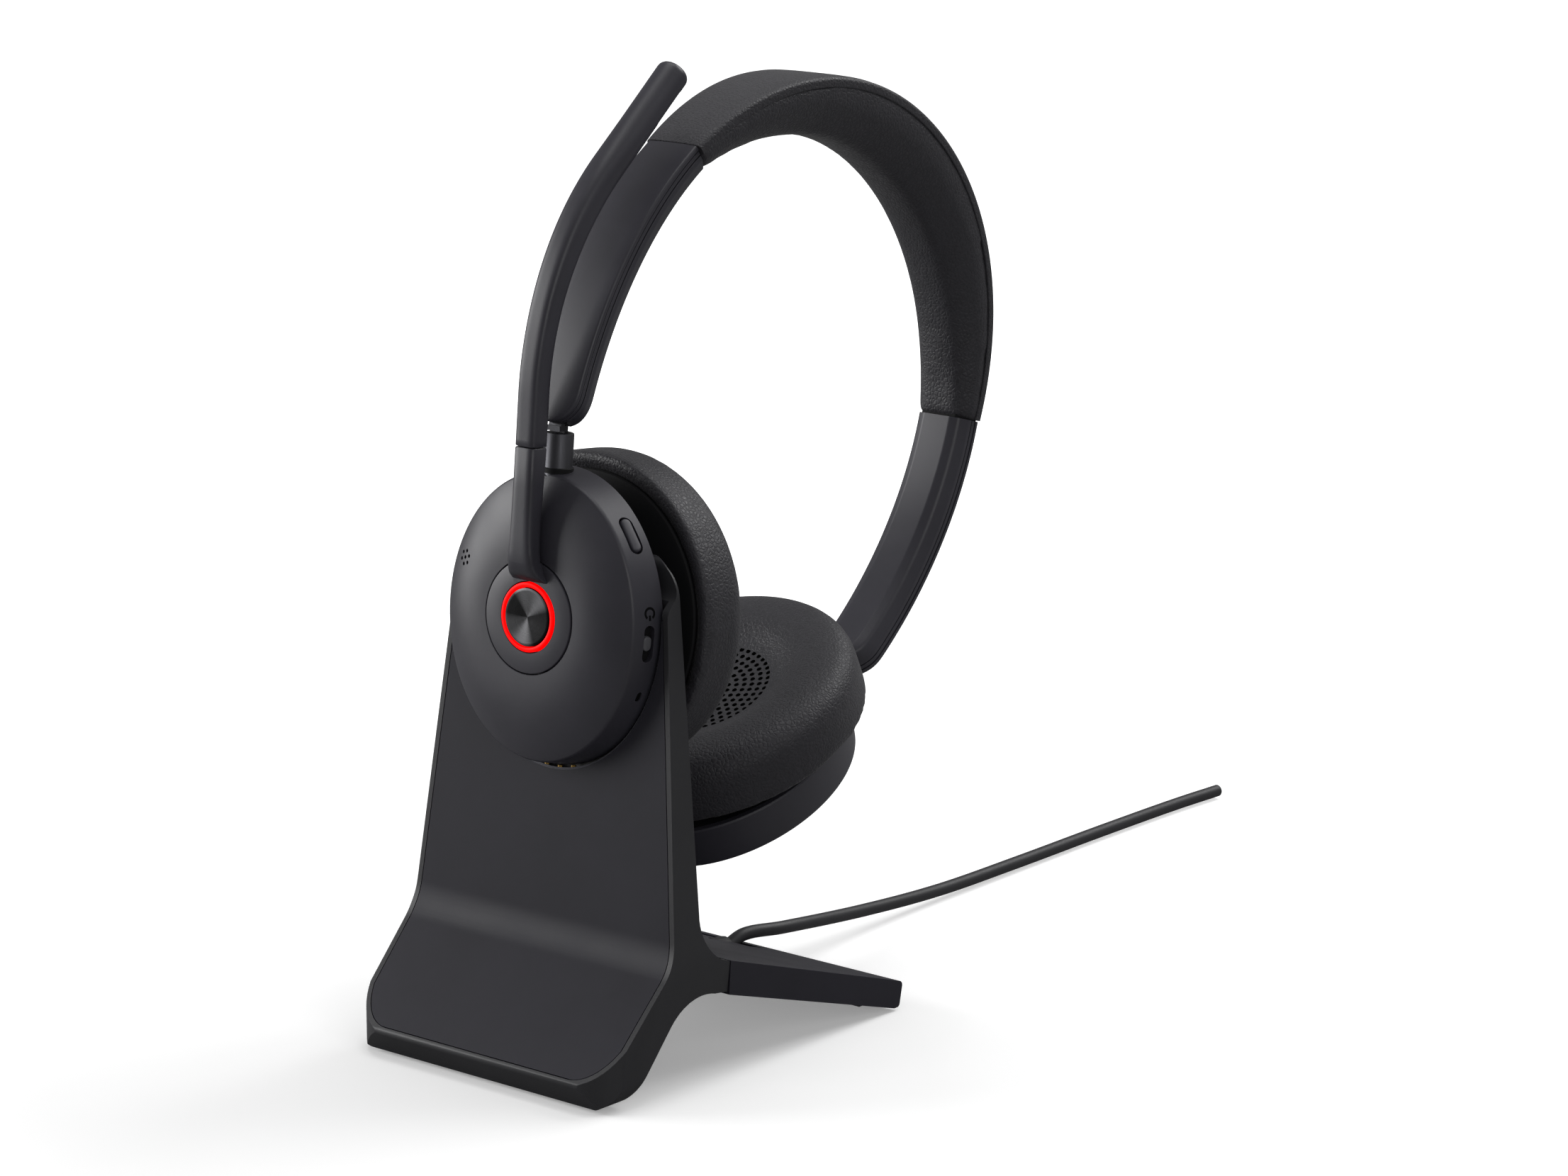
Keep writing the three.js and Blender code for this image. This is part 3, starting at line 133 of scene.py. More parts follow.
def ovals(name, levels, segments, place, loop=False):
    """Levels are (half width, half height, depth, drop) about the cup's y axis."""
    rings = [[(half_width * cos(a), depth, half_height * sin(a) - drop) for a in turns(segments)]
             for half_width, half_height, depth, drop in levels]
    return skin(name, rings, place, loop)


def rounds(name, levels, segments, place, loop=False):
    """Levels are (radius, depth) about the cup's y axis."""
    return ovals(name, [(r, r, d, 0) for r, d in levels], segments, place, loop)


def rounds_z(name, levels, segments, place, depth=0.0, loop=False):
    """Levels are (radius, height) about a line along the cup's z axis at a depth."""
    rings = [[(r * cos(a), depth + r * sin(a), height) for a in turns(segments)] for r, height in levels]
    return skin(name, rings, place, loop)


def rounded(corners, steps=8):
    """Rounds a closed outline of (a, b, radius) corners, with the same number of points each time."""
    points = []
    for i, (a, b, radius) in enumerate(corners):
        here = Vector((a, b))
        if radius == 0:
            points.append(here)
            continue
        back = (Vector(corners[i - 1][:2]) - here).normalized()
        ahead = (Vector(corners[(i + 1) % len(corners)][:2]) - here).normalized()
        half = acos(max(-1, min(1, back.dot(ahead)))) / 2
        centre = here + (back + ahead).normalized() * (radius / sin(half))
        start = here + back * (radius / tan(half)) - centre
        side = copysign(1, start.x * ahead.y - start.y * ahead.x)
        for k in range(steps + 1):
            angle = side * (pi - 2 * half) * k / steps
            c, s = cos(angle), sin(angle)
            points.append(centre + Vector((start.x * c - start.y * s, start.x * s + start.y * c)))
    return points


def mirrored(half):
    """A closed outline of (a, b, radius) corners from one half and its mirror image about a = 0."""
    return half + [(-a, b, radius) for a, b, radius in reversed(half)]


def prism(name, outline, low, high, place, axis="z"):
    """Extrudes an outline along z (outline in x, y), y (in x, z) or x (in y, z)."""
    lay = {
        "z": lambda a, b, t: (a, b, t),
        "y": lambda a, b, t: (a, t, b),
        "x": lambda a, b, t: (t, a, b),
    }[axis]
    return skin(name, [[lay(p[0], p[1], t) for p in outline] for t in (low, high)], place)


def block(name, x0, x1, y0, y1, z0, z1, place):
    return prism(name, [(x0, y0), (x1, y0), (x1, y1), (x0, y1)], z0, z1, place)


def modify(obj, kind, **settings):
    modifier = obj.modifiers.new(kind.lower(), kind)
    for key, value in settings.items():
        setattr(modifier, key, value)
    return modifier


def bake(obj):
    """Replaces an object's mesh by the mesh its modifiers make."""
    graph = bpy.context.evaluated_depsgraph_get()
    mesh = bpy.data.meshes.new_from_object(obj.evaluated_get(graph))
    obj.modifiers.clear()
    old = obj.data
    obj.data = mesh
    bpy.data.meshes.remove(old)
    return obj


def combine(obj, operation, *tools):
    for tool in tools:
        modify(obj, "BOOLEAN", operation=operation, solver="EXACT", object=tool)
        bake(obj)
        bpy.data.objects.remove(tool)
    return obj


def cut(obj, *tools):
    return combine(obj, "DIFFERENCE", *tools)


def smooth(obj, angle=32):
    obj.data.polygons.foreach_set("use_smooth", [True] * len(obj.data.polygons))
    obj.data.set_sharp_from_angle(angle=radians(angle))
    return obj


def finish_piece(obj, material, body, node=None, angle=32):
    """Gives a piece its material, its CAD body and the CAD node it stands for.
    """
    obj.data.materials.clear()
    obj.data.materials.append(material)
    smooth(obj, angle)
    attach(obj, body)
    if node:
        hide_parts(node)
    return obj


# ---- materials

class Nodes:
    """A small builder for a material's node tree."""

    def __init__(self, name):
        self.material = bpy.data.materials.new(name)
        self.material.use_nodes = True
        self.tree = self.material.node_tree
        self.shader = self.tree.nodes["Principled BSDF"]
        self.place = self.add("TexCoord").outputs["Object"]

    def add(self, kind, inputs=None, **settings):
        node = self.tree.nodes.new("ShaderNode" + kind)
        for key, value in settings.items():
            setattr(node, key, value)
        for key, value in (inputs or {}).items():
            self.feed(node.inputs[key], value)
        return node

    def feed(self, socket, value):
        if isinstance(value, bpy.types.NodeSocket):
            self.tree.links.new(value, socket)
        else:
            socket.default_value = value

    def math(self, operation, a, b=0.0, c=0.0):
        node = self.add("Math", operation=operation)
        for socket, value in zip(node.inputs, (a, b, c)):
            self.feed(socket, value)
        return node.outputs[0]

    def plus(self, a, b):
        return self.math("ADD", a, b)

    def minus(self, a, b):
        return self.math("SUBTRACT", a, b)

    def times(self, a, b):
        return self.math("MULTIPLY", a, b)

    def over(self, a, b):
        return self.math("DIVIDE", a, b)

    def noise(self, scale, detail=3.0, roughness=0.55, distortion=0.0):
        return self.add("TexNoise", {
            "Vector": self.place, "Scale": scale, "Detail": detail, "Roughness": roughness,
            "Distortion": distortion}).outputs["Fac"]

    def cells(self, scale, feature="F1", randomness=1.0):
        return self.add("TexVoronoi", {
            "Vector": self.place, "Scale": scale, "Randomness": randomness}, feature=feature).outputs["Distance"]

    def ramp(self, value, low, high, out_low, out_high):
        return self.add("MapRange", {
            "Value": value, "From Min": low, "From Max": high, "To Min": out_low, "To Max": out_high,
        }).outputs["Result"]

    def spread(self, noise, out_low=0.0, out_high=1.0):
        """Stretches the middle of a noise's range over an output range."""
        return self.ramp(noise, 0.3, 0.7, out_low, out_high)

    def hypot(self, a, b):
        return self.math("SQRT", self.plus(self.times(a, a), self.times(b, b)))

    def mix(self, share, a, b):
        return self.add("Mix", {0: share, 6: a, 7: b}, data_type="RGBA").outputs[2]

    def bump(self, height, distance, strength=1.0, normal=None):
        node = self.add("Bump", {"Height": height, "Distance": distance, "Strength": strength})
        if normal is not None:
            self.feed(node.inputs["Normal"], normal)
        return node.outputs["Normal"]

    def edges(self, radius):
        """How far the surface turns within a radius: 0 on flats and near 1 on edges."""
        soft = self.add("Bevel", {"Radius": radius}, samples=4).outputs["Normal"]
        sharp = self.add("NewGeometry").outputs["Normal"]
        facing = self.add("VectorMath", {0: soft, 1: sharp}, operation="DOT_PRODUCT").outputs["Value"]
        return self.ramp(facing, 0.98, 0.75, 0.0, 1.0)

    def done(self, **inputs):
        for key, value in inputs.items():
            self.feed(self.shader.inputs[key.replace("_", " ")], value)
        return self.material


def colour(red, green, blue):
    """Scene colour from an sRGB colour of 0 to 255."""
    def linear(v):
        v /= 255
        return v / 12.92 if v <= 0.04045 else ((v + 0.055) / 1.055) ** 2.4
    return (linear(red), linear(green), linear(blue), 1.0)


def shade(tone, times, plus=0.0):
    return tuple(v * times + plus for v in tone[:3]) + (1.0,)


def moulded(name, tone, roughness=0.42, grain=0.00001, wear=0.35, shine=0.45):
    """Moulded plastic with a fine spark-eroded texture, cloudy gloss and lighter worn edges."""
    n = Nodes(name)
    cloud = n.noise(38, 4)
    speck = n.noise(5200, 2)
    base = n.mix(n.spread(cloud), shade(tone, 0.88), shade(tone, 1.14))
    edge = n.times(n.edges(0.0004), n.ramp(n.noise(700, 3), 0.35, 0.65, 0.4 * wear, wear))
    base = n.mix(edge, base, shade(tone, 2.3, 0.01))
    gloss = n.plus(n.spread(cloud, roughness - 0.04, roughness + 0.05), n.spread(speck, -0.03, 0.03))
    return n.done(Base_Color=base, Roughness=gloss, Normal=n.bump(speck, grain), Specular_IOR_Level=shine)


def leather(name, tone, perforated=None):
    """Fine-grained leatherette: pebbles with creases between, soft sheen, and optional perforations whose holes are
    painted shade.
    """
    n = Nodes(name)
    pebble = n.cells(1000, "DISTANCE_TO_EDGE")
    crease = n.noise(520, 5, 0.65, 1.2)
    slow = n.noise(45, 3)
    height = n.plus(n.ramp(pebble, 0.0, 0.25, 0.0, 0.6), n.times(crease, 0.9))
    light = shade(tone, 1.2)
    base = n.mix(n.spread(crease), shade(tone, 0.72), light)
    base = n.mix(n.ramp(slow, 0.35, 0.7, 0.0, 0.35), base, light)
    gloss = n.plus(n.ramp(pebble, 0.0, 0.3, 0.6, 0.46), n.spread(slow, -0.03, 0.05))
    normal = n.bump(height, 0.0002, 0.6)
    shine, sheen = 0.42, 0.05
    if perforated:
        # Painted shade: the holes are near-black with no gloss or sheen, and dip in the bump, since the mesh has no
        # real holes.
        hole = perforated(n)
        base = n.mix(hole, base, (0.0006, 0.0006, 0.0007, 1.0))
        solid = n.minus(1.0, hole)
        normal = n.bump(solid, 0.0004, 1.0, normal)
        shine, sheen = n.times(solid, shine), n.times(solid, sheen)
    return n.done(Base_Color=base, Roughness=gloss, Normal=normal, Sheen_Weight=sheen, Sheen_Roughness=0.5,
                  Specular_IOR_Level=shine)


def cup_point(n, place):
    """The shading point in cup axes, in millimetres, as three sockets."""
    turned = place.inverted()
    mapping = n.add("Mapping", {
        "Vector": n.place, "Location": turned.translation, "Rotation": turned.to_euler("XYZ")})
    scaled = n.add("VectorMath", {0: mapping.outputs[0], "Scale": 1 / MM}, operation="SCALE")
    parts = n.add("SeparateXYZ", {0: scaled.outputs[0]})
    return parts.outputs[0], parts.outputs[1], parts.outputs[2]


def ring_holes(place, reach=16, pitch=1.95, size=0.62):
    """Mask of round holes of a radius, size, on rings about a cup's axis: six more in each ring."""
    def build(n):
        x, _, z = cup_point(n, place)
        radius = n.hypot(x, z)
        ring = n.math("ROUND", n.over(radius, pitch))
        count = n.math("MAXIMUM", n.times(ring, 6.0), 1.0)
        share = n.over(n.math("ARCTAN2", z, x), 2 * pi)
        turn = n.plus(n.times(share, count), n.times(ring, 0.27))
        off = n.minus(n.math("FRACT", n.plus(turn, 100.5)), 0.5)
        arc = n.over(n.times(n.times(off, radius), 2 * pi), count)
        across = n.minus(radius, n.times(ring, pitch))
        hole = n.ramp(n.hypot(arc, across), size * 1.15, size * 0.85, 0.0, 1.0)
        return n.times(hole, n.math("LESS_THAN", radius, reach))
    return build


def spun(name, place, tone):
    """Metal turned in fine circles: rings in the roughness, and fans of painted highlight across the face with
    painted shade between them.
    """
    n = Nodes(name)
    x, _, z = cup_point(n, place)
    angle, radius = n.math("ARCTAN2", z, x), n.hypot(x, z)
    # Painted highlight: full colour in fans by angle around the face, falling below a tenth of it between them.
    fans = n.plus(n.math("COSINE", n.times(n.minus(angle, 1.2), 2.0)),
                  n.times(n.math("COSINE", n.times(n.plus(angle, 0.5), 5.0)), 0.45))
    rings = n.add("TexNoise", {"W": n.times(radius, 9.0), "Detail": 3.0, "Scale": 1.0},
                  noise_dimensions="1D").outputs["Fac"]
    base = n.mix(n.ramp(fans, -0.5, 1.3, 0.0, 1.0), shade(tone, 0.08), tone)
    gloss = n.spread(rings, 0.26, 0.42)
    return n.done(Base_Color=base, Roughness=gloss, Metallic=1.0, Normal=n.bump(rings, 0.00002, 0.5))


def metal(name, tone, roughness=0.32):
    """Satin metal with fine streaks."""
    n = Nodes(name)
    streak = n.add("Mapping", {"Vector": n.place, "Scale": (900.0, 900.0, 60.0)}).outputs[0]
    fine = n.add("TexNoise", {"Vector": streak, "Scale": 1.0, "Detail": 2.0}).outputs["Fac"]
    gloss = n.spread(fine, roughness - 0.07, roughness + 0.08)
    base = n.mix(n.spread(n.noise(60)), shade(tone, 0.85), tone)
    return n.done(Base_Color=base, Roughness=gloss, Metallic=0.9, Normal=n.bump(fine, 0.000004))


def rubber(name, tone, roughness=0.62):
    """Dull rubber or cable jacket with a fine grain."""
    n = Nodes(name)
    fine = n.noise(2600, 3)
    base = n.mix(n.spread(n.noise(90)), shade(tone, 0.8), tone)
    gloss = n.spread(fine, roughness - 0.06, roughness + 0.08)
    return n.done(Base_Color=base, Roughness=gloss, Normal=n.bump(fine, 0.00002))


def light_guide(name, tone, strength):
    """A lit, slightly uneven light guide that hardly lights what is around it."""
    n = Nodes(name)
    seen = n.ramp(n.add("LightPath").outputs["Is Camera Ray"], 0, 1, 0.12, 1.0)
    uneven = n.times(n.spread(n.noise(160, 2), strength * 0.9, strength * 1.1), seen)
    return n.done(Base_Color=(0.1, 0.0, 0.0, 1.0), Emission_Color=tone, Emission_Strength=uneven,
                  Roughness=0.4, Specular_IOR_Level=0.1)


def acoustic_mesh(name, tone):
    """A square weave with dark openings, drawn as painted shade."""
    n = Nodes(name)
    weave = n.cells(2400, "F1", 0.0)
    base = n.mix(n.ramp(weave, 0.2, 0.45, 0.0, 1.0), tone, (0.001, 0.001, 0.001, 1.0))
    return n.done(Base_Color=base, Roughness=0.9, Normal=n.bump(weave, 0.0001))


HIDE = colour(40, 39, 44)
BODY = moulded("charcoal_plastic", colour(50, 49, 56), 0.42)
PANEL = moulded("panel_plastic", colour(40, 39, 46), 0.5, shine=0.22)
KNOB = moulded("grey_plastic", colour(84, 84, 88), 0.45)
BLACK = moulded("black_plastic", colour(38, 38, 41), 0.45)
# Painted shade: a near-black, darker than the black plastic, for pieces and CAD nodes seen only in gaps, slots and
# recesses.
SHADOW = moulded("painted_shade_plastic", colour(13, 13, 15), 0.7, wear=0.1, shine=0.2)
LEATHER = leather("leatherette", HIDE)
FAR_LEATHER = leather("perforated_leatherette", HIDE, ring_holes(FAR))
NEAR_LEATHER = leather("perforated_leatherette_near", HIDE, ring_holes(NEAR))
RUBBER = rubber("black_rubber", colour(30, 30, 32))
CABLE = rubber("cable_jacket", colour(40, 40, 43), 0.5)
SPUN = spun("spun_metal", NEAR, colour(100, 100, 102))
SATIN = metal("satin_grey", colour(80, 80, 84), 0.5)
# Painted shade: steel drawn far darker than it is, so the slider strips read as the dark notch at the top of the
# post; the headband's spring shares it.
SHADED_STEEL = metal("shaded_steel", colour(62, 62, 65), 0.4)
STEEL = metal("plain_steel", colour(170, 172, 175))
GOLD = metal("contact_gold", colour(150, 122, 66), 0.4)
FOIL = metal("silver_foil", colour(190, 192, 196), 0.35)
RED_LIGHT = light_guide("red_light", colour(255, 0, 0), 1.3)
BOARD = moulded("circuit_board", colour(30, 92, 54), 0.35)
MESH = acoustic_mesh("acoustic_mesh", colour(58, 58, 61))
INK = moulded("pad_print", colour(6, 6, 7), 0.8, wear=0.0, shine=0.1)
POLISHED = moulded("polished_black", colour(26, 26, 29), 0.12, 0.000002, 0.15)
# Painted highlight: a light grey for the sloped faces of the pocket's chamfer, standing in for the bright line of
# light along its edge.
EDGE = moulded("painted_highlight_edge", colour(112, 112, 118), 0.25, 0.000002, 0.1)


# ---- ear cup shells

CUP = Named(
    face_w=27.8, face_h=32.6, face_depth=4.1, rim_w=29.5, rim_h=33.9, rim_depth=12.3,
    far_rim_depth=14.8, base=1.3, drop=0.5, wall=1.7, hub_fall=0.25, dome=2.4,
    neck=17, bore=14.6, neck_end=19, baffle=32.2, baffle_start=19.3, baffle_end=20.5,
    cushion_radius=36.4, cushion_start=20.8, cushion_front=34.8,
)
DISC_RADIUS = 12.73
DISC_THICKNESS = 2.3
RING_OUTER = 7.86
RING_INNER = 6.75
POST_RADIUS = 3.3
POST_DEPTH = POST_POINT.y / MM
POST_TOP = 41.2


def face_level(share, hub):
    """A level of the domed face, from a round hub at share 0 to the oval edge at share 1."""
    fall = lerp(CUP.hub_fall, CUP.face_depth, share ** CUP.dome)
    return (lerp(hub, CUP.face_w, share), lerp(hub, CUP.face_h, share), fall, CUP.drop * share)


def bend_levels(a, b, c, steps):
    """Levels on a soft corner that leaves a, heads for b and arrives at c."""
    levels = []
    for i in range(1, steps):
        t = i / steps
        levels.append(tuple((1 - t) ** 2 * p + 2 * t * (1 - t) * q + t * t * r for p, q, r in zip(a, b, c)))
    return levels


def outer_levels(hub, rim_depth, first=0.0):
    """From the hub over the dome and its soft edge, down the wall to the open rim and back inside."""
    c = CUP
    levels = [face_level(lerp(first, 0.975, i / 22), hub) for i in range(23)]
    corner = (c.face_w + 0.05, c.face_h + 0.05, c.face_depth, c.drop)
    wall = (c.face_w + 0.2, c.face_h + 0.17, c.face_depth + 0.9, c.drop)
    levels += bend_levels(levels[-1], corner, wall, 7) + [wall]
    rim = (c.rim_w, c.rim_h, rim_depth - 0.35, c.drop)
    levels += [tuple(lerp(p, q, i / 4) for p, q in zip(wall, rim)) for i in range(1, 5)]
    levels.append((c.rim_w - 0.3, c.rim_h - 0.3, rim_depth, c.drop))
    levels.append((c.rim_w - c.wall, c.rim_h - c.wall, rim_depth, c.drop))
    levels.append((c.face_w - c.wall, c.face_h - c.wall, c.face_depth + 1.5, c.drop))
    return levels


def rim_place(angle, depth, place=NEAR):
    """Axes on the cup's wall: x along the rim, y down the wall, z outwards."""
    span = CUP.rim_depth - CUP.face_depth
    share = (depth - CUP.face_depth) / span
    half_w, half_h = lerp(CUP.face_w, CUP.rim_w, share), lerp(CUP.face_h, CUP.rim_h, share)
    point = Vector((half_w * cos(angle), depth, half_h * sin(angle) - CUP.drop))
    flat = Vector((cos(angle) / half_w, 0, sin(angle) / half_h)).normalized()
    along = Vector((0, 1, 0)).cross(flat)
    outward = Vector((flat.x, -(CUP.rim_w - CUP.face_w) / span, flat.z)).normalized()
    return place @ placed(along, outward.cross(along), outward, point * MM)


def pill(length, width, steps=10):
    """Outline of a pill, long along x."""
    radius = width / 2
    points = []
    for end in (1, -1):
        for i in range(steps + 1):
            angle = (i / steps - 0.5) * pi
            points.append((end * (length / 2 - radius + radius * cos(angle)), end * radius * sin(angle)))
    return points


MUTE = Named(place=rim_place(radians(40.2), 8.3), length=8.2, width=2.6)
SWITCH = Named(place=rim_place(radians(-3.4), 8.4), length=8.4, width=2.8, knob=3.4)
STATUS = Named(place=rim_place(radians(-25.4), 9.0), length=2.2, width=1.0)
MIC_HOLES = Named(x=-21.6, z=10.3, pitch=1.55, radius=0.44)


def post_hole(place):
    return rounds_z("post_hole", [(POST_RADIUS + GAP, 20), (POST_RADIUS + GAP, 40)], 48, place, POST_DEPTH)


def slot_tool(control, play=0.0):
    """A slot through the cup's wall for a control."""
    return prism("slot", pill(control.length + play, control.width + play), -4, 3, control.place)


def near_shell():
    """The near cup's cover: a well for the boom's disc, microphone holes and slots for the controls."""
    well, floor, bore, skirt_wall, skirt_floor = DISC_RADIUS + GAP, DISC_THICKNESS + GAP, RING_INNER + 0.24, 1.2, 1.6
    start = face_level(0, well)
    levels = [(bore, bore, floor, 0), (well, well, floor, 0), (well, well, start[2] + 0.1, 0)]
    levels += outer_levels(well + 0.12, CUP.rim_depth)
    under = well + skirt_wall
    levels += [(under, under, floor + skirt_floor, 0), (bore, bore, floor + skirt_floor, 0)]
    shell = ovals("near_shell", levels, 192, NEAR, loop=True)
    spots = [(0.0, 0.0)] + [(cos(a), sin(a)) for a in (radians(60 * i) + 0.3 for i in range(6))]
    tools = [post_hole(NEAR)]
    for a, b in spots:
        spot = NEAR @ Matrix.Translation(Vector((MIC_HOLES.x + a * MIC_HOLES.pitch, 0,
                                                 MIC_HOLES.z + b * MIC_HOLES.pitch)) * MM)
        tools.append(rounds("mic_hole", [(MIC_HOLES.radius, -2), (MIC_HOLES.radius, 7)], 16, spot))
    tools += [slot_tool(MUTE, 1.0), slot_tool(SWITCH), slot_tool(STATUS, GAP)]
    finish_piece(cut(shell, *tools), BODY, "near_cup", "near_cup_cover")


def far_shell():
    """The far cup's cover: plain, with a flat middle and a deeper wall."""
    flat, back = 0.2, 2.2
    levels = [(3, 3, flat, 0), (9, 9.5, flat, 0)] + outer_levels(13, CUP.far_rim_depth, 0.04) + [(4, 4, back, 0)]
    shell = ovals("far_shell", levels, 192, FAR)
    finish_piece(cut(shell, post_hole(FAR)), BODY, "far_cup", "far_cup_cover")


def crowned_pill(name, length, width, low, high, place, crown=0.35):
    """A pill-shaped key whose top is rounded over at its edge."""
    rings = [[(x, y, low) for x, y in pill(length, width)]]
    for i in range(5):
        angle = pi / 2 * i / 4
        shrink = 2 * crown * (1 - cos(angle))
        rings.append([(x, y, high - crown + crown * sin(angle))
                      for x, y in pill(length - shrink, width - shrink)])
    return skin(name, rings, place)


def rim_controls():
    """Mute key, power knob and status lens, each sunk in or standing out of its slot in the near cup's wall."""
    key = crowned_pill("mute_key", MUTE.length, MUTE.width, -3.8, 0.3, MUTE.place, 0.5)
    finish_piece(key, BODY, "mute_button", "mute_button")
    knob = crowned_pill("power_knob", SWITCH.knob, SWITCH.width - 0.5, -3.4, -0.3, SWITCH.place, 0.4)
    finish_piece(knob, KNOB, "power_slider", "power_slider")
    lens = crowned_pill("status_lens", STATUS.length, STATUS.width, -2.6, -0.05, STATUS.place, 0.2)
    finish_piece(lens, INK, "near_cup", "status_light")
    # Painted shade: a near-black floor deep in the switch's slot.
    bottom = pill(SWITCH.length - 0.2, SWITCH.width - 0.2)
    finish_piece(prism("switch_floor", bottom, -1.65, -1.45, SWITCH.place), SHADOW, "near_cup")


def power_symbol():
    """Open circle and a bar, printed on the wall above the switch."""
    place = rim_place(radians(8.4), 8.5)
    half, radius, lift = 0.27, 1.2, 0.05
    inner, outer = radius - half, radius + half
    rings = []
    for i in range(25):
        angle = radians(lerp(35, 325, i / 24))
        rings.append([(r * cos(angle), r * sin(angle), z)
                      for r, z in ((inner, -lift), (outer, -lift), (outer, lift), (inner, lift))])
    finish_piece(skin("power_symbol_ring", rings, place), INK, "near_cup")
    bar = block("power_symbol_bar", 0.4, 1.6, -half, half, -lift, lift, place)
    finish_piece(bar, INK, "near_cup")


def cup_neck(side, place):
    """What shows in the gap behind the cushion: base plate, neck and baffle with a thin lip, real parts drawn in the
    near-black of painted shade.
    """
    c = CUP
    rim = c.far_rim_depth if side == "far" else c.rim_depth
    half_w, half_h = c.rim_w - c.wall - GAP, c.rim_h - c.wall - GAP
    neck, bore, end = c.neck, c.bore, c.neck_end
    base = ovals(f"{side}_neck", [
        (bore, bore, rim - c.base, 0), (half_w, half_h, rim - c.base, c.drop),
        (half_w, half_h, rim - 0.15, c.drop), (half_w - 0.4, half_h - 0.4, rim, c.drop),
        (neck + 3, neck + 3.5, rim + 0.1, 0), (neck + 0.6, neck + 0.6, rim + 0.5, 0), (neck, neck, rim + 1.3, 0),
        (neck, neck, end, 0), (bore, bore, end, 0)], 128, place, loop=True)
    finish_piece(base, SHADOW, f"{side}_cup", f"{side}_cup_base")
    edge, low, high = c.baffle, c.baffle_start, c.baffle_end
    plate = rounds(f"{side}_baffle_plate", [
        (bore - GAP, low), (edge - 1, low), (edge - 0.3, low + 0.2), (edge, low + 0.6), (edge, high - 0.1),
        (edge - 0.3, high), (bore - GAP, high)], 128, place, loop=True)
    finish_piece(plate, SHADOW, f"{side}_cup", f"{side}_baffle")


def post_piece(side, place):
    """The slotted post a cup turns on, and a near-black collar of painted shade in the gap where it enters the cup.
    """
    half_w, half_h, start = 2.2, 0.9, 36.4
    slot = block("slot", -half_w, half_w, POST_DEPTH - half_h, POST_DEPTH + half_h, start, POST_TOP + 2.8, place)
    body = rounds_z(f"{side}_swivel_post", [
        (POST_RADIUS, 24), (POST_RADIUS, POST_TOP - 0.4), (POST_RADIUS - 0.12, POST_TOP - 0.12),
        (POST_RADIUS - 0.4, POST_TOP)], 72, place, POST_DEPTH)
    finish_piece(cut(body, slot), SATIN, f"{side}_slider", f"{side}_post")
    # Painted shade: a ring in the gap around the post.
    inner, outer = POST_RADIUS + 0.1, POST_RADIUS + 0.28
    collar = rounds_z(f"{side}_post_collar", [(inner, 32.2), (outer, 32.2), (outer, 33.2), (inner, 33.4)],
                      72, place, POST_DEPTH, loop=True)
    finish_piece(collar, SHADOW, f"{side}_cup")


# ---- boom

BOOM = Named(
    seam=38.4, straight=50, bend_radius=72, bend=radians(44.5), tip=29.4, depth=-1.6,
    half=2.95, tip_radius=3.8, mic_turn=radians(40),
)
BOOM_LENGTH = BOOM.straight + BOOM.bend_radius * BOOM.bend + BOOM.tip


def boom_station(length):
    """Point on the boom's centre line in cup axes, and how far the boom has turned inwards."""
    beyond = length - BOOM.straight
    if beyond <= 0:
        return BOOM.depth, length, 0.0
    arc = BOOM.bend_radius * BOOM.bend
    turn = min(beyond, arc) / BOOM.bend_radius
    straight = max(beyond - arc, 0)
    return (BOOM.depth + BOOM.bend_radius * (1 - cos(turn)) + straight * sin(turn),
            BOOM.straight + BOOM.bend_radius * sin(turn) + straight * cos(turn), turn)


def boom_ring(length, half_width, front, back, roundness=0.0, count=40):
    """Cross-section: a bar with soft corners that becomes round as roundness nears 1."""
    y, z, turn = boom_station(length)
    middle, half = (front + back) / 2, (back - front) / 2
    power = lerp(5.0, 2.0, roundness)
    ring = []
    for i in range(count):
        a = 2 * pi * (i + 0.5) / count
        c, s = cos(a), sin(a)
        reach = (abs(c) ** power + abs(s) ** power) ** (-1 / power)
        across = middle + half * s * reach
        ring.append((half_width * c * reach, y + across * cos(turn), z - across * sin(turn)))
    return ring


def boom_root():
    """The disc the boom turns on, with the ramp and the bar that rise from it up to the seam."""
    seat, edge, sleeve, bore, seat_floor, sleeve_end = RING_OUTER + 0.2, DISC_RADIUS, 7, 2.7, 1.9, 6.4
    disc = rounds("boom_disc", [
        (seat, 0.1), (seat + 0.1, 0.0), (edge - 0.3, 0.0), (edge - 0.08, 0.08), (edge, 0.3), (edge, DISC_THICKNESS),
        (sleeve, DISC_THICKNESS), (sleeve, sleeve_end), (bore, sleeve_end), (bore, seat_floor), (seat, seat_floor),
    ], 144, NEAR, loop=True)
    half, sunk, clear, seam = BOOM.half, 2.2, 1.5, BOOM.seam
    # length from the hub, half width, front, back: sunk in the disc, then clear of the cup's face
    levels = [(8.1, 5.2, 1.75, sunk), (8.35, 5.1, 1.3, sunk), (8.7, 4.9, 0.55, sunk), (9.2, 4.65, -0.35, sunk),
              (9.8, 4.4, -1.15, sunk), (10.6, 4.1, -1.85, sunk), (11.6, 3.85, -2.35, sunk), (12.6, 3.68, -2.6, sunk),
              (12.7, 3.66, -2.62, clear), (15, 3.36, -2.85, clear), (18, 3.14, -2.96, clear), (22, 3.02, -3, 1.6),
              (30, half, -3, 2.1), (seam - 0.25, half, -3, 2.4), (seam, half - 0.15, -2.85, 2.25)]
    piece = combine(disc, "UNION", skin("boom_root_bar", [boom_ring(*level) for level in levels], NEAR))
    piece.name = "boom_root"
    finish_piece(piece, BODY, "boom", "boom_base", angle=40)


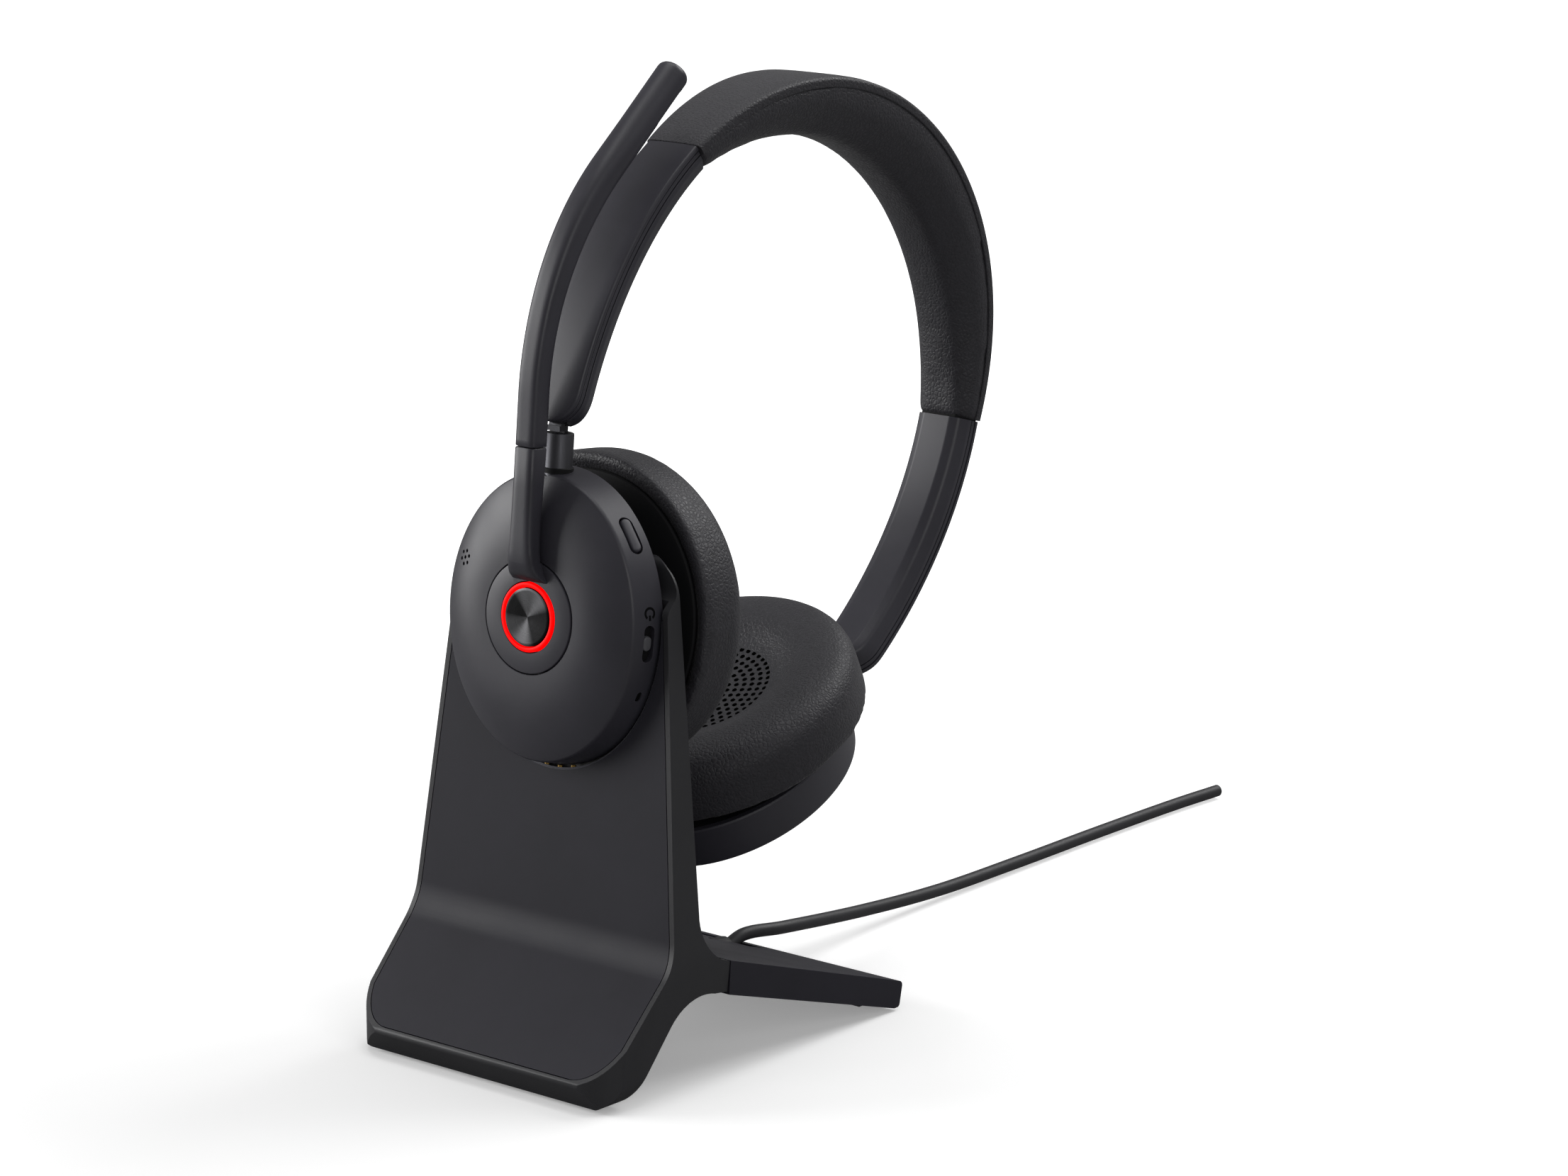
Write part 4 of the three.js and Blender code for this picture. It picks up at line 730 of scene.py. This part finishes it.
def boom_bar():
    """The boom from its seam to its tip: a bar that turns into a round rod, with the microphone's slot."""
    start, round_from, round_to = BOOM.seam + 0.25, 58, BOOM_LENGTH - 16
    half, tip, nose, crown = BOOM.half, BOOM.tip_radius, 1.6, 1.5
    rings = [boom_ring(start, half - 0.15, -half + 0.15, 2.25)]
    for i in range(73):
        length = lerp(start + 0.2, BOOM_LENGTH - nose, i / 72)
        share = clamp((length - round_from) / (round_to - round_from))
        share = share * share * (3 - 2 * share)
        radius = lerp(half, tip, share)
        rings.append(boom_ring(length, radius, -radius, lerp(2.4, radius, share), share))
    for i in range(1, 7):
        angle = pi / 2 * i / 6
        radius = tip - crown + crown * cos(angle)
        rings.append(boom_ring(BOOM_LENGTH - nose + nose * sin(angle), radius, -radius, radius, 1.0))
    slot = prism("slot", pill(11, 1.7), 1.1, 5, mic_place())
    finish_piece(cut(skin("boom_bar", rings, NEAR), slot), BODY, "boom", "boom_arm", angle=40)


def mic_place():
    """Axes on the inner side of the boom's tip: x along the boom, z out of its slot."""
    y, z, turn = boom_station(BOOM_LENGTH - 9)
    along = Vector((0, sin(turn), cos(turn)))
    inward = Vector((0, cos(turn), -sin(turn)))
    outward = inward * cos(BOOM.mic_turn) + ACROSS * sin(BOOM.mic_turn)
    return NEAR @ placed(along, outward.cross(along), outward, Vector((0, y, z)) * MM)


def hub():
    """Light ring, dished cap and the microphone's screen."""
    inner, outer, crown, ring_back = RING_INNER, RING_OUTER, -0.35, 1.6
    ring = rounds("hub_light", [
        (inner, -0.1), (inner + 0.1, crown + 0.08), (inner + 0.25, crown), (outer - 0.25, crown),
        (outer - 0.1, crown + 0.08), (outer, -0.1), (outer, ring_back), (inner, ring_back)], 144, NEAR, loop=True)
    finish_piece(ring, RED_LIGHT, "boom", "light_ring")
    edge, stem, stem_end, dish = RING_INNER - GAP / 2, 2.2, 5.9, 0.3
    button = rounds("hub_cap", [
        (stem, stem_end), (stem, 1), (edge, 1), (edge, -0.1), (edge - 0.08, -0.26), (edge - 0.3, -0.34)]
        + [(edge * (1 - i / 9), -0.34 + dish * (i / 9) ** 1.5) for i in range(1, 9)], 144, NEAR)
    finish_piece(button, SPUN, "hub_button", "hub_button")
    strip = prism("microphone_screen", pill(10.4, 1.3), 2.6, 3.05, mic_place())
    finish_piece(strip, MESH, "boom", "microphone_mesh")


# ---- headband line

BAND = Named(
    apex=(144.4, 202.8), tilt=radians(37.1),
    radii=[(0, 70), (30, 68), (60, 72), (90, 85), (120, 111), (160, 126)],
    cover_end=86.2, arm_end=159.5, arm_round=8, arm_w=7.36, arm_inner_w=5.84, arm_depth=8,
    cover_w=11.15, cover_end_w=8.1, pad=16.4, seam=2.85,
)


def band_curvature(distance):
    for (s0, r0), (s1, r1) in zip(BAND.radii, BAND.radii[1:]):
        if distance <= s1:
            return lerp(1 / r0, 1 / r1, (distance - s0) / (s1 - s0))
    return 1 / BAND.radii[-1][1]


def band_station(s):
    """Point on the band's outer line and its inward direction, in the row frame, in millimetres."""
    side = -1 if s < 0 else 1
    tilt = BAND.tilt
    across = Vector((0, cos(tilt), -sin(tilt))) * side
    up = Vector((0, sin(tilt), cos(tilt)))
    point = Vector((0, *BAND.apex))
    heading, steps = 0.0, 80
    step = abs(s) / steps
    for i in range(steps):
        turn = band_curvature((i + 0.5) * step) * step
        heading += turn / 2
        point += (across * cos(heading) - up * sin(heading)) * step
        heading += turn / 2
    return point, -(across * sin(heading) + up * cos(heading))


def sweep(name, lengths, section, place=ROW):
    """Sweeps a section of (x, depth) points in millimetres along the headband's outer line."""
    rings = []
    for s in lengths:
        point, inward = band_station(s)
        rings.append([(x, point.y + inward.y * d, point.z + inward.z * d) for x, d in section(s)])
    return skin(name, rings, place)


def spread(low, high, count):
    """Evenly spaced values from low to high."""
    return [lerp(low, high, i / count) for i in range(count + 1)]


def band_width(s):
    """Half the width of the covered band."""
    return lerp(BAND.cover_w, BAND.cover_end_w, (s / BAND.cover_end) ** 2)


def arm_share(s):
    """Narrows an arm at its rounded free end."""
    beyond = max(abs(s) - (BAND.arm_end - BAND.arm_round), 0) / BAND.arm_round
    return sqrt(max(1 - beyond ** 2.4, 0.02))


def arm_lengths(side):
    body = spread(BAND.cover_end + 0.25, BAND.arm_end - BAND.arm_round, 40)
    end = [BAND.arm_end - BAND.arm_round * (1 - t) for t in
           (0.15, 0.3, 0.42, 0.53, 0.63, 0.72, 0.8, 0.87, 0.93, 0.97, 1.0)]
    return [side * s for s in body + end]


def arms():
    """Each bare arm: outer shell, inlay and lining, parted by two grooves with a dark core of painted shade in them.
    """
    inner, depth = BAND.arm_inner_w, BAND.arm_depth

    def shell(s):
        w = BAND.arm_w * arm_share(s)
        soft = min(0.7, w * 0.3)
        crown = [(-w * t, 0.02 + 0.25 * t * t, 0) for t in (0.55, 0.2)]
        return rounded(mirrored([(-w, 1.45, 0.15), (-w, 0.3, soft)] + crown), 5)

    def inlay(s):
        w = (BAND.arm_w - 0.16) * arm_share(s)
        return rounded(mirrored([(-w, 2.7, 0.15), (-w, 1.77, 0.15)]), 3)

    # Painted shade: a near-black core inside the arm, seen through both grooves.
    def core(s):
        w = (BAND.arm_w - 0.75) * arm_share(s)
        return rounded(mirrored([(-w, 3.4, 0), (-w, 0.9, 0)]))

    def lining(s):
        share = arm_share(s)
        w, i, soft = (BAND.arm_w - 0.15) * share, inner * share, 1.6 * share
        return rounded(mirrored([(w, 3.02, 0.2), (w, 4.2, 1.2 * share), (i + 0.3, depth - 0.9, soft),
                                 (i - 1.9 * share, depth, soft)]), 5)

    for side, name in ((-1, "near"), (1, "far")):
        parts = [("shell", shell, BODY, f"{name}_arm_cover"), ("inlay", inlay, BODY, None),
                 ("core", core, SHADOW, None), ("lining", lining, BODY, f"{name}_arm_liner")]
        for part, section, material, node in parts:
            piece = sweep(f"{name}_arm_{part}", arm_lengths(side), section)
            finish_piece(piece, material, "headband", node, angle=45)


# ---- soft pieces

SIM = 10.0  # cloth runs on a ten times larger copy, where Cloth is steady


CLOTH = {
    "quality": 6, "mass": 0.3, "tension_stiffness": 25, "compression_stiffness": 25, "shear_stiffness": 15,
    "bending_stiffness": 3, "use_pressure": True, "vertex_group_mass": "held",
}
LAST_FRAME = 20


def inflate(obj, held, pressure, cap, voxel):
    """Puffs a closed mesh with Cloth. held(point) is how firmly a point in metres stays; cap and voxel are in mm."""
    obj.data.transform(Matrix.Scale(SIM, 4))
    modify(obj, "REMESH", mode="VOXEL", voxel_size=voxel * MM * SIM)
    bake(obj)
    rest = [v.co.copy() for v in obj.data.vertices]
    group = obj.vertex_groups.new(name="held")
    for i, co in enumerate(rest):
        group.add([i], held(co / SIM), "REPLACE")
    settings = modify(obj, "CLOTH").settings
    for key, value in CLOTH.items():
        setattr(settings, key, value)
    settings.uniform_pressure_force = pressure
    settings.effector_weights.gravity = 0
    scene = bpy.context.scene
    for number in range(1, LAST_FRAME + 1):
        scene.frame_set(number)
    bake(obj)
    scene.frame_set(1)
    obj.vertex_groups.clear()
    for vertex, start in zip(obj.data.vertices, rest):
        move = vertex.co - start
        limit = cap * MM * SIM
        if move.length > limit:
            vertex.co = start + move * (limit / move.length)
    obj.data.transform(Matrix.Scale(1 / SIM, 4))
    modify(obj, "SMOOTH", factor=0.5, iterations=4)
    bake(obj)
    modify(obj, "SUBSURF", levels=1, render_levels=1)
    return bake(obj)


def cushion(side, place, material):
    """The ear cushion: a crowned ring around a shallow dish, flat at the back where it is clipped on."""
    c = CUP
    radius, start, front = c.cushion_radius - 0.1, c.cushion_start, c.cushion_front - 0.3
    corner, skirt, seat, back_face, bore, dish_back = 5.8, start - 1.6, 31.7, 22.6, 16.8, 26.2
    profile = [(seat, back_face), (seat, start), (33, start), (33.6, skirt), (radius - 0.4, skirt),
               (radius, skirt + 0.4), (radius, start + 1.6), (radius, start + 4.5)]
    for i in range(9):
        angle = pi / 2 * i / 8
        profile.append((radius - corner + corner * cos(angle), front - corner + corner * sin(angle)))
    profile += [(25, front - 0.1), (22.5, front - 0.6), (20, front - 1.7), (17.7, front - 2.9), (14.5, front - 3.6),
                (8, front - 3.8), (3, front - 3.8)]
    profile = [(3, dish_back), (bore, dish_back), (bore, back_face)] + profile
    pad = rounds(f"{side}_ear_cushion", profile, 96, ROW)
    back, wall_top, dish = (start + 2.0) * MM, (front - corner) * MM, 17.5 * MM

    def held(point):
        """Fixed at the back, fairly firm on the wall, and fixed again in the dish."""
        around = hypot(point.x, point.z)
        if point.y < back:
            return 1.0
        if point.y < wall_top:
            return 0.7
        return clamp((dish * 1.15 - around) / (dish * 0.15))

    pad = inflate(pad, held, 3.0, 0.55, 1.3)
    pad.data.transform(place)
    finish_piece(pad, material, f"{side}_cup", f"{side}_cushion", angle=60)


def headband():
    """The band's leatherette top, the soft pad below its seam, and the dark cores of painted shade where the arms
    start.
    """
    ends = BAND.cover_end

    def cover(s):
        w = band_width(s)
        crown = [(-w * t, -0.05 + 0.3 * t ** 4, 0) for t in (0.8, 0.5, 0.2)]
        return rounded(mirrored([(-w, BAND.seam - 0.15, 0.25), (-w, 0.45, 1.0)] + crown), 6)

    top = sweep("headband_top", spread(-ends, ends, 120), cover)
    finish_piece(top, LEATHER, "headband", "headband_cover", angle=50)

    def pad_section(s):
        w = band_width(s) - 0.12
        share = (s / ends) ** 2
        t = lerp(BAND.pad, BAND.arm_depth, share) - 0.25
        inner = lerp(6.9, 6.1, share)
        low = BAND.seam - 1.3
        full = 1 - share
        soft = 3.0 * full + 0.8
        return rounded(mirrored([
            (w, low, 0.2), (w, lerp(BAND.seam, t, 0.34), soft),
            ((w + inner) / 2 - 0.7 * full, lerp(t, low, 0.28), soft), (inner * 0.8, t, 2.2 * full + 0.8)]), 5)

    pad = sweep("headband_cushion", spread(-ends - 0.25, ends + 0.25, 110), pad_section)
    line = [band_station(s)[0] * MM for s in spread(-ends, ends, 60)]

    def held(point):
        """Firm at the seam and towards both ends of the pad."""
        reach = [(Vector((0, point.y, point.z)) - p).length / MM for p in line]
        return clamp(max((6 - min(reach)) / 2, (16 - min(reach[0], reach[-1])) / 8))

    pad = inflate(pad, held, 3.0, 0.7, 1.3)
    finish_piece(pad, LEATHER, "headband", "headband_pad", angle=60)

    # Painted shade: a near-black core in the joint where each arm leaves the pad.
    def joint_core(s):
        w = BAND.arm_w - 0.5
        return rounded(mirrored([(w, 0.8, 0.3), (w, 4, 1.0), (BAND.arm_inner_w - 0.5, 7.2, 1.0)]), 3)

    for side, name in ((-1, "near"), (1, "far")):
        core = sweep(f"{name}_band_joint", [side * (ends + t) for t in (-2.5, -1, 0.5, 2)], joint_core)
        finish_piece(core, SHADOW, "headband")


# ---- charging stand

STAND = Named(
    half_w=40, crease=29, top_w=30.9, height=118.5, lean=5.4, thickness=8.6,
    panel=2.2, margin=1.5, corner=12,
    ear_low=107.5, ear_back=3.4, panel_top=106, seam=(40, 26.7), seam_low=(39.4, 18.8),
)
SLOPE = Named(foot=radians(45.6), rear=radians(-18.2), below=radians(-17.2), under=radians(50.2),
              rise=radians(90 - STAND.lean))
LIP = (-2.5, 6.1)
UPRIGHT = (24.3, 65.3)
SOLE = (7.4, 0.5)
CREASE_ROUND = 14
PAST = 60.0  # far enough to reach past the stand
PLAY = 0.6  # around the cup in its pocket
CHAMFER = 0.45
POCKET_DEPTH = CUP.rim_depth + 0.5


def meet(p, a, q, b):
    """Where the line through p at angle a meets the line through q at angle b."""
    d = cos(a) * sin(b) - sin(a) * cos(b)
    t = ((q[0] - p[0]) * sin(b) - (q[1] - p[1]) * cos(b)) / d
    return (p[0] + t * cos(a), p[1] + t * sin(a))


def inward_of(point, angle, offset):
    """A point moved off a line at an angle, into the material."""
    return (point[0] + offset * sin(angle), point[1] - offset * cos(angle))


def front_line(offset):
    """Foot line, crease and upright line of the front face, moved into the material."""
    foot = inward_of(LIP, SLOPE.foot, offset)
    upright = inward_of(UPRIGHT, SLOPE.rise, offset)
    return foot, meet(foot, SLOPE.foot, upright, SLOPE.rise), upright


def frame_profile():
    """The frame seen from the side, from the sole's front edge around the front face, ears, back and arch."""
    foot, crease, upright = front_line(0)
    _, _, back = front_line(STAND.thickness)
    top = (0, STAND.height)
    seam, low, under = STAND.seam, STAND.seam_low, SLOPE.under
    _, _, ear = front_line(STAND.ear_back)
    return rounded([
        (0.4, SOLE[1], 0.8), (*LIP, 1.4), (*crease, CREASE_ROUND),
        (*meet(upright, SLOPE.rise, (0, STAND.ear_low), 0), 3),
        (*meet(ear, SLOPE.rise, (0, STAND.ear_low + STAND.ear_back), 0), 4),
        (*meet(ear, SLOPE.rise, top, 0), 2.4),
        (*meet(back, SLOPE.rise, top, 0), 2.4), (*meet(back, SLOPE.rise, seam, SLOPE.rear), 12),
        (seam[0] - GAP / 2, seam[1], 0.35), (low[0] - GAP / 2, low[1], 0.35),
        (*meet(low, SLOPE.below, SOLE, under), 14), (*SOLE, 0.8)], 12)


def stand_outline(inset):
    """The stand seen from the front: narrower from the crease up, with rounded ears."""
    return rounded(mirrored([
        (STAND.half_w - 1.2 - inset, SOLE[1] - 0.1 + inset, 6.5), (STAND.half_w - inset, STAND.crease, 30),
        (STAND.top_w - inset, STAND.height - inset, 9)]), 14)


def plan_outline(inset):
    """The stand seen from above: the two front corners are rounded."""
    side, front = STAND.half_w - inset, LIP[0] + inset * cos(SLOPE.foot)
    return rounded(mirrored([(-side - 1, PAST * 2, 0), (-side, front, STAND.corner - inset)]), 14)


def trim(obj, inset):
    """Keeps what lies within the stand's outlines from the front and from above."""
    return combine(obj, "INTERSECT", prism("outline", stand_outline(inset), -20, PAST, STAND_PLACE, "y"),
                   prism("plan", plan_outline(inset), -PAST, PAST * 3, STAND_PLACE))


def front_sheet(near, far, inset, top):
    """The sheet behind the front face between two depths."""
    points = []
    for offset in (near, far):
        foot, crease, upright = front_line(offset)
        lip = (foot[0] + inset * cos(SLOPE.foot), foot[1] + inset * sin(SLOPE.foot), 0)
        points.append([lip, (*crease, CREASE_ROUND + offset), (*meet(upright, SLOPE.rise, (0, top), 0), 0)])
    return rounded(points[0] + points[1][::-1], 12)


def u_shape(spread_by, count=72):
    """Outline of the cup's rim seen from the front, open at the top like the cradle, grown by an amount."""
    half_w, half_h = CUP.rim_w + spread_by, CUP.rim_h + spread_by
    arc = [pi * (1 + i / count) for i in range(count + 1)]
    bottom = [(half_w * cos(a), half_h * sin(a) - CUP.drop) for a in arc]
    return [(-half_w, PAST)] + bottom + [(half_w, PAST)]


def pocket_tool(face):
    """The pocket for the cup's rim, opened out by a chamfer where it meets the front face."""
    levels = [(-8, PLAY + CHAMFER), (face - 0.02, PLAY + CHAMFER), (face + CHAMFER, PLAY), (POCKET_DEPTH, PLAY)]
    rings = [[(x, y, z) for x, z in u_shape(wider)] for y, wider in levels]
    return skin("pocket", rings, NEAR)


def neck_tool():
    """The opening behind the pocket for the cup's neck."""
    radius = CUP.neck + PLAY
    turn = [pi * (1 + i / 48) for i in range(49)]
    outline = [(-radius, PAST)] + [(radius * cos(a), radius * sin(a)) for a in turn] + [(radius, PAST)]
    return prism("neck", outline, 5, 30, NEAR, axis="y")


def contact_well(face):
    """Room for the contact block behind the front face, open into the bottom of the pocket."""
    half, cover, back, low, high = 9.3, 0.95, 13.9, -39.3, -34.4
    return block("contacts", -half, half, face + cover, back, low, high, NEAR)


def paint(obj, material, test, place):
    """Gives the faces that pass a test on their centre and normal, in a place's axes, another material."""
    obj.data.materials.append(material)
    index = len(obj.data.materials) - 1
    back = place.inverted()
    turn = back.to_3x3()
    for face in obj.data.polygons:
        if test(back @ face.center / MM, turn @ face.normal):
            face.material_index = index


def stand():
    """Frame and front panel, both opened by the pocket; the pocket's chamfer is polished, with a painted highlight
    on its sloped faces.
    """
    face = (NEAR.inverted() @ STAND_PLACE @ (Vector((0, *UPRIGHT)) * MM)).y / MM

    def on_chamfer(point, normal):
        wide = abs(point.x) - CUP.rim_w
        if point.z < -CUP.drop:
            shrink = hypot(point.x / CUP.rim_w, (point.z + CUP.drop) / CUP.rim_h)
            wide = (shrink - 1) * CUP.rim_w
        return wide < PLAY + CHAMFER + 0.05 and face - 0.05 < point.y < POCKET_DEPTH - 0.02 and abs(normal.y) < 0.95

    # Painted highlight: the chamfer's faces that turn part way to the front.
    def on_painted_highlight(point, normal):
        return on_chamfer(point, normal) and abs(normal.y) > 0.3

    half = STAND.half_w + 1
    whole = trim(prism("stand_shell", frame_profile(), -half, half, STAND_PLACE, "x"), 0)
    inset = STAND.margin - GAP * 0.8
    room = front_sheet(-6, STAND.panel + GAP, inset, STAND.panel_top + GAP)
    cut(whole, trim(prism("recess", room, -PAST, PAST, STAND_PLACE, "x"), inset),
        pocket_tool(face), neck_tool(), contact_well(face))
    sheet = front_sheet(0, STAND.panel, STAND.margin, STAND.panel_top)
    panel = trim(prism("stand_front", sheet, -PAST, PAST, STAND_PLACE, "x"), STAND.margin)
    cut(panel, pocket_tool(face), contact_well(face))
    for piece, material, node in ((whole, BLACK, "stand_frame"), (panel, PANEL, "front_panel")):
        finish_piece(piece, material, "stand", node, angle=24)
        paint(piece, POLISHED, on_chamfer, NEAR)
        # painted highlight on the sloped faces of the chamfer
        paint(piece, EDGE, on_painted_highlight, NEAR)


LEAD_RADIUS = 1.6
LEAD_POINTS = [  # in mm, from inside the stand to the lead's free end
    (-6, 23.4, 41), (-6, 24.8, 35), (-6, 29, 27.8), (-6, 37, 23.1), (-6, 56, 16.9), (-6, 80, 9),
    (-5.8, 87, 8.0), (-5.2, 93.5, 10.0), (-3.5, 106.5, 9.1), (-5.4, 139, 5.2), (-6.9, 172, 2.6),
    (-8, 207, 1.9), (-8.7, 242, 1.8), (-8.6, 278, 1.8), (-7.8, 296, 1.8),
]


def curve_points(points, steps):
    """A centripetal Catmull-Rom curve through the points."""
    p = [Vector(q) for q in points]
    p = [2 * p[0] - p[1]] + p + [2 * p[-1] - p[-2]]
    line = [p[1]]
    for a, b, c, d in zip(p, p[1:], p[2:], p[3:]):
        da, db, dc = (sqrt((v - u).length) for u, v in ((a, b), (b, c), (c, d)))
        leave = ((b - a) / da - (c - a) / (da + db) + (c - b) / db) * db
        arrive = ((c - b) / db - (d - b) / (db + dc) + (d - c) / dc) * db
        for i in range(1, steps + 1):
            t = i / steps
            line.append(b * (2 * t ** 3 - 3 * t * t + 1) + leave * (t ** 3 - 2 * t * t + t)
                        + c * (3 * t * t - 2 * t ** 3) + arrive * (t ** 3 - t * t))
    return line


def lead():
    """The supply lead: out of the stand's back, through the slot in the rear foot and along the floor."""
    line = curve_points(LEAD_POINTS, 12)
    rings = []
    for i, point in enumerate(line):
        ahead = (line[min(i + 1, len(line) - 1)] - line[max(i - 1, 0)]).normalized()
        up = ahead.cross(ACROSS).normalized()
        side = up.cross(ahead)
        rings.append([point + (side * cos(a) + up * sin(a)) * LEAD_RADIUS for a in turns(28)])
    finish_piece(skin("supply_lead", rings), CABLE, "stand", "usb_lead", angle=50)


# ---- carried-over CAD nodes

KEPT = [
    (PANEL, "rear_foot"),
    (BLACK, "foot_base_cover contact_block"),
    (STEEL, "weight_left weight_right base_screw_left base_screw_right boom_axle_clip"),
    (RUBBER, "front_pad rear_pad_left rear_pad_right cable_grommet"),
    (BOARD, "charging_board near_circuit_board"),
    (FOIL, "near_driver far_driver hub_switch boom_microphone battery"),
    (SHADOW, "near_driver_grille far_driver_grille near_cushion_ring far_cushion_ring near_post_bush far_post_bush"),
    # painted shade on the slider strips
    (SHADED_STEEL, "headband_spring near_slider_strip far_slider_strip"),
    (GOLD, "contact_pin_1 contact_pin_2 contact_pin_3 contact_pin_4"),
]
SOFT_EDGED = ("rear_foot", "contact_block", "foot_base_cover")


def kept_nodes():
    """Materials for the CAD nodes that show as they are, and softer edges where they are seen."""
    for material, names in KEPT:
        for name in names.split():
            node = frame["nodes"][name]
            node.data.materials.clear()
            node.data.materials.append(material)
            smooth(node)
    for name in SOFT_EDGED:
        modify(frame["nodes"][name], "BEVEL", width=0.45 * MM, segments=3, limit_method="ANGLE",
               angle_limit=radians(40))


# ---- floor, light and camera

def floor():
    """A pale floor that fades into the white backdrop and doesn't light the object from below."""
    reach = 6000
    corners = [(-reach, -reach), (reach, -reach), (reach, reach), (-reach, reach)]
    plane = make("floor", [(x, y, -0.3) for x, y in corners], [(0, 1, 2, 3)])
    n = Nodes("floor")
    seen = n.add("LightPath").outputs["Is Camera Ray"]
    tone = n.times(n.spread(n.noise(2.5, 2), 0.86, 0.88), n.ramp(seen, 0, 1, 0.3, 1.0))
    pale = n.add("CombineColor", {0: tone, 1: tone, 2: tone}).outputs[0]
    away = n.add("VectorMath", {0: n.place}, operation="LENGTH").outputs["Value"]
    glow = n.times(n.ramp(away, 0.1, 0.75, 0.25, 1.0), seen)
    plane.data.materials.append(n.done(Base_Color=pale, Roughness=0.85, Specular_IOR_Level=0.1,
                                       Emission_Color=(1, 1, 1, 1), Emission_Strength=glow))


def area_light(name, place, size, power, target=(0, 0.08, 0.1)):
    light = bpy.data.lights.new(name, "AREA")
    light.shape = "RECTANGLE"
    light.size, light.size_y = size
    light.energy = power
    obj = linked(name, light)
    obj.location = place
    obj.rotation_euler = (Vector(target) - Vector(place)).to_track_quat("-Z", "Y").to_euler()


def studio():
    """White to the camera, dim to the object, with a big soft light on the left and three weaker ones."""
    world = bpy.data.worlds.new("studio")
    world.use_nodes = True
    tree = world.node_tree
    backdrop = tree.nodes["Background"]
    backdrop.inputs["Color"].default_value = (1, 1, 1, 1)
    seen = tree.nodes.new("ShaderNodeLightPath").outputs["Is Camera Ray"]
    strength = tree.nodes.new("ShaderNodeMapRange")
    strength.inputs["To Min"].default_value = 0.2
    strength.inputs["To Max"].default_value = 1.0
    tree.links.new(seen, strength.inputs["Value"])
    tree.links.new(strength.outputs["Result"], backdrop.inputs["Strength"])
    bpy.context.scene.world = world
    area_light("key", (-1.35, -0.75, 0.35), (0.9, 1.2), 24)
    area_light("back", (0.3, 1.0, 0.95), (0.9, 0.6), 9)
    area_light("top", (-0.1, 0.2, 1.4), (0.8, 0.8), 6)
    area_light("fill", (1.2, -0.5, 0.6), (0.8, 0.8), 4)
    bpy.context.scene.view_settings.view_transform = "Standard"


def camera():
    """A long lens from the photo's side: in front, to the right and a little above."""
    back = Vector((0.6229, -0.7477, 0.2300)).normalized()
    right = Vector((-back.y, back.x, 0)).normalized()
    lens = bpy.data.cameras.new("photo_view")
    lens.lens = 112.3
    lens.sensor_width = 36
    lens.clip_end = 20
    obj = linked("photo_view", lens)
    obj.matrix_world = placed(right, back.cross(right), back, Vector((0.7215, -0.7633, 0.3610)))
    bpy.context.scene.camera = obj


# ---- build

near_shell()
far_shell()
rim_controls()
power_symbol()
for side_name, side_place, side_leather in (("near", NEAR, NEAR_LEATHER), ("far", FAR, FAR_LEATHER)):
    cup_neck(side_name, side_place)
    post_piece(side_name, side_place)
    cushion(side_name, side_place, side_leather)
boom_root()
boom_bar()
hub()
arms()
headband()
stand()
lead()
kept_nodes()
floor()
studio()
camera()
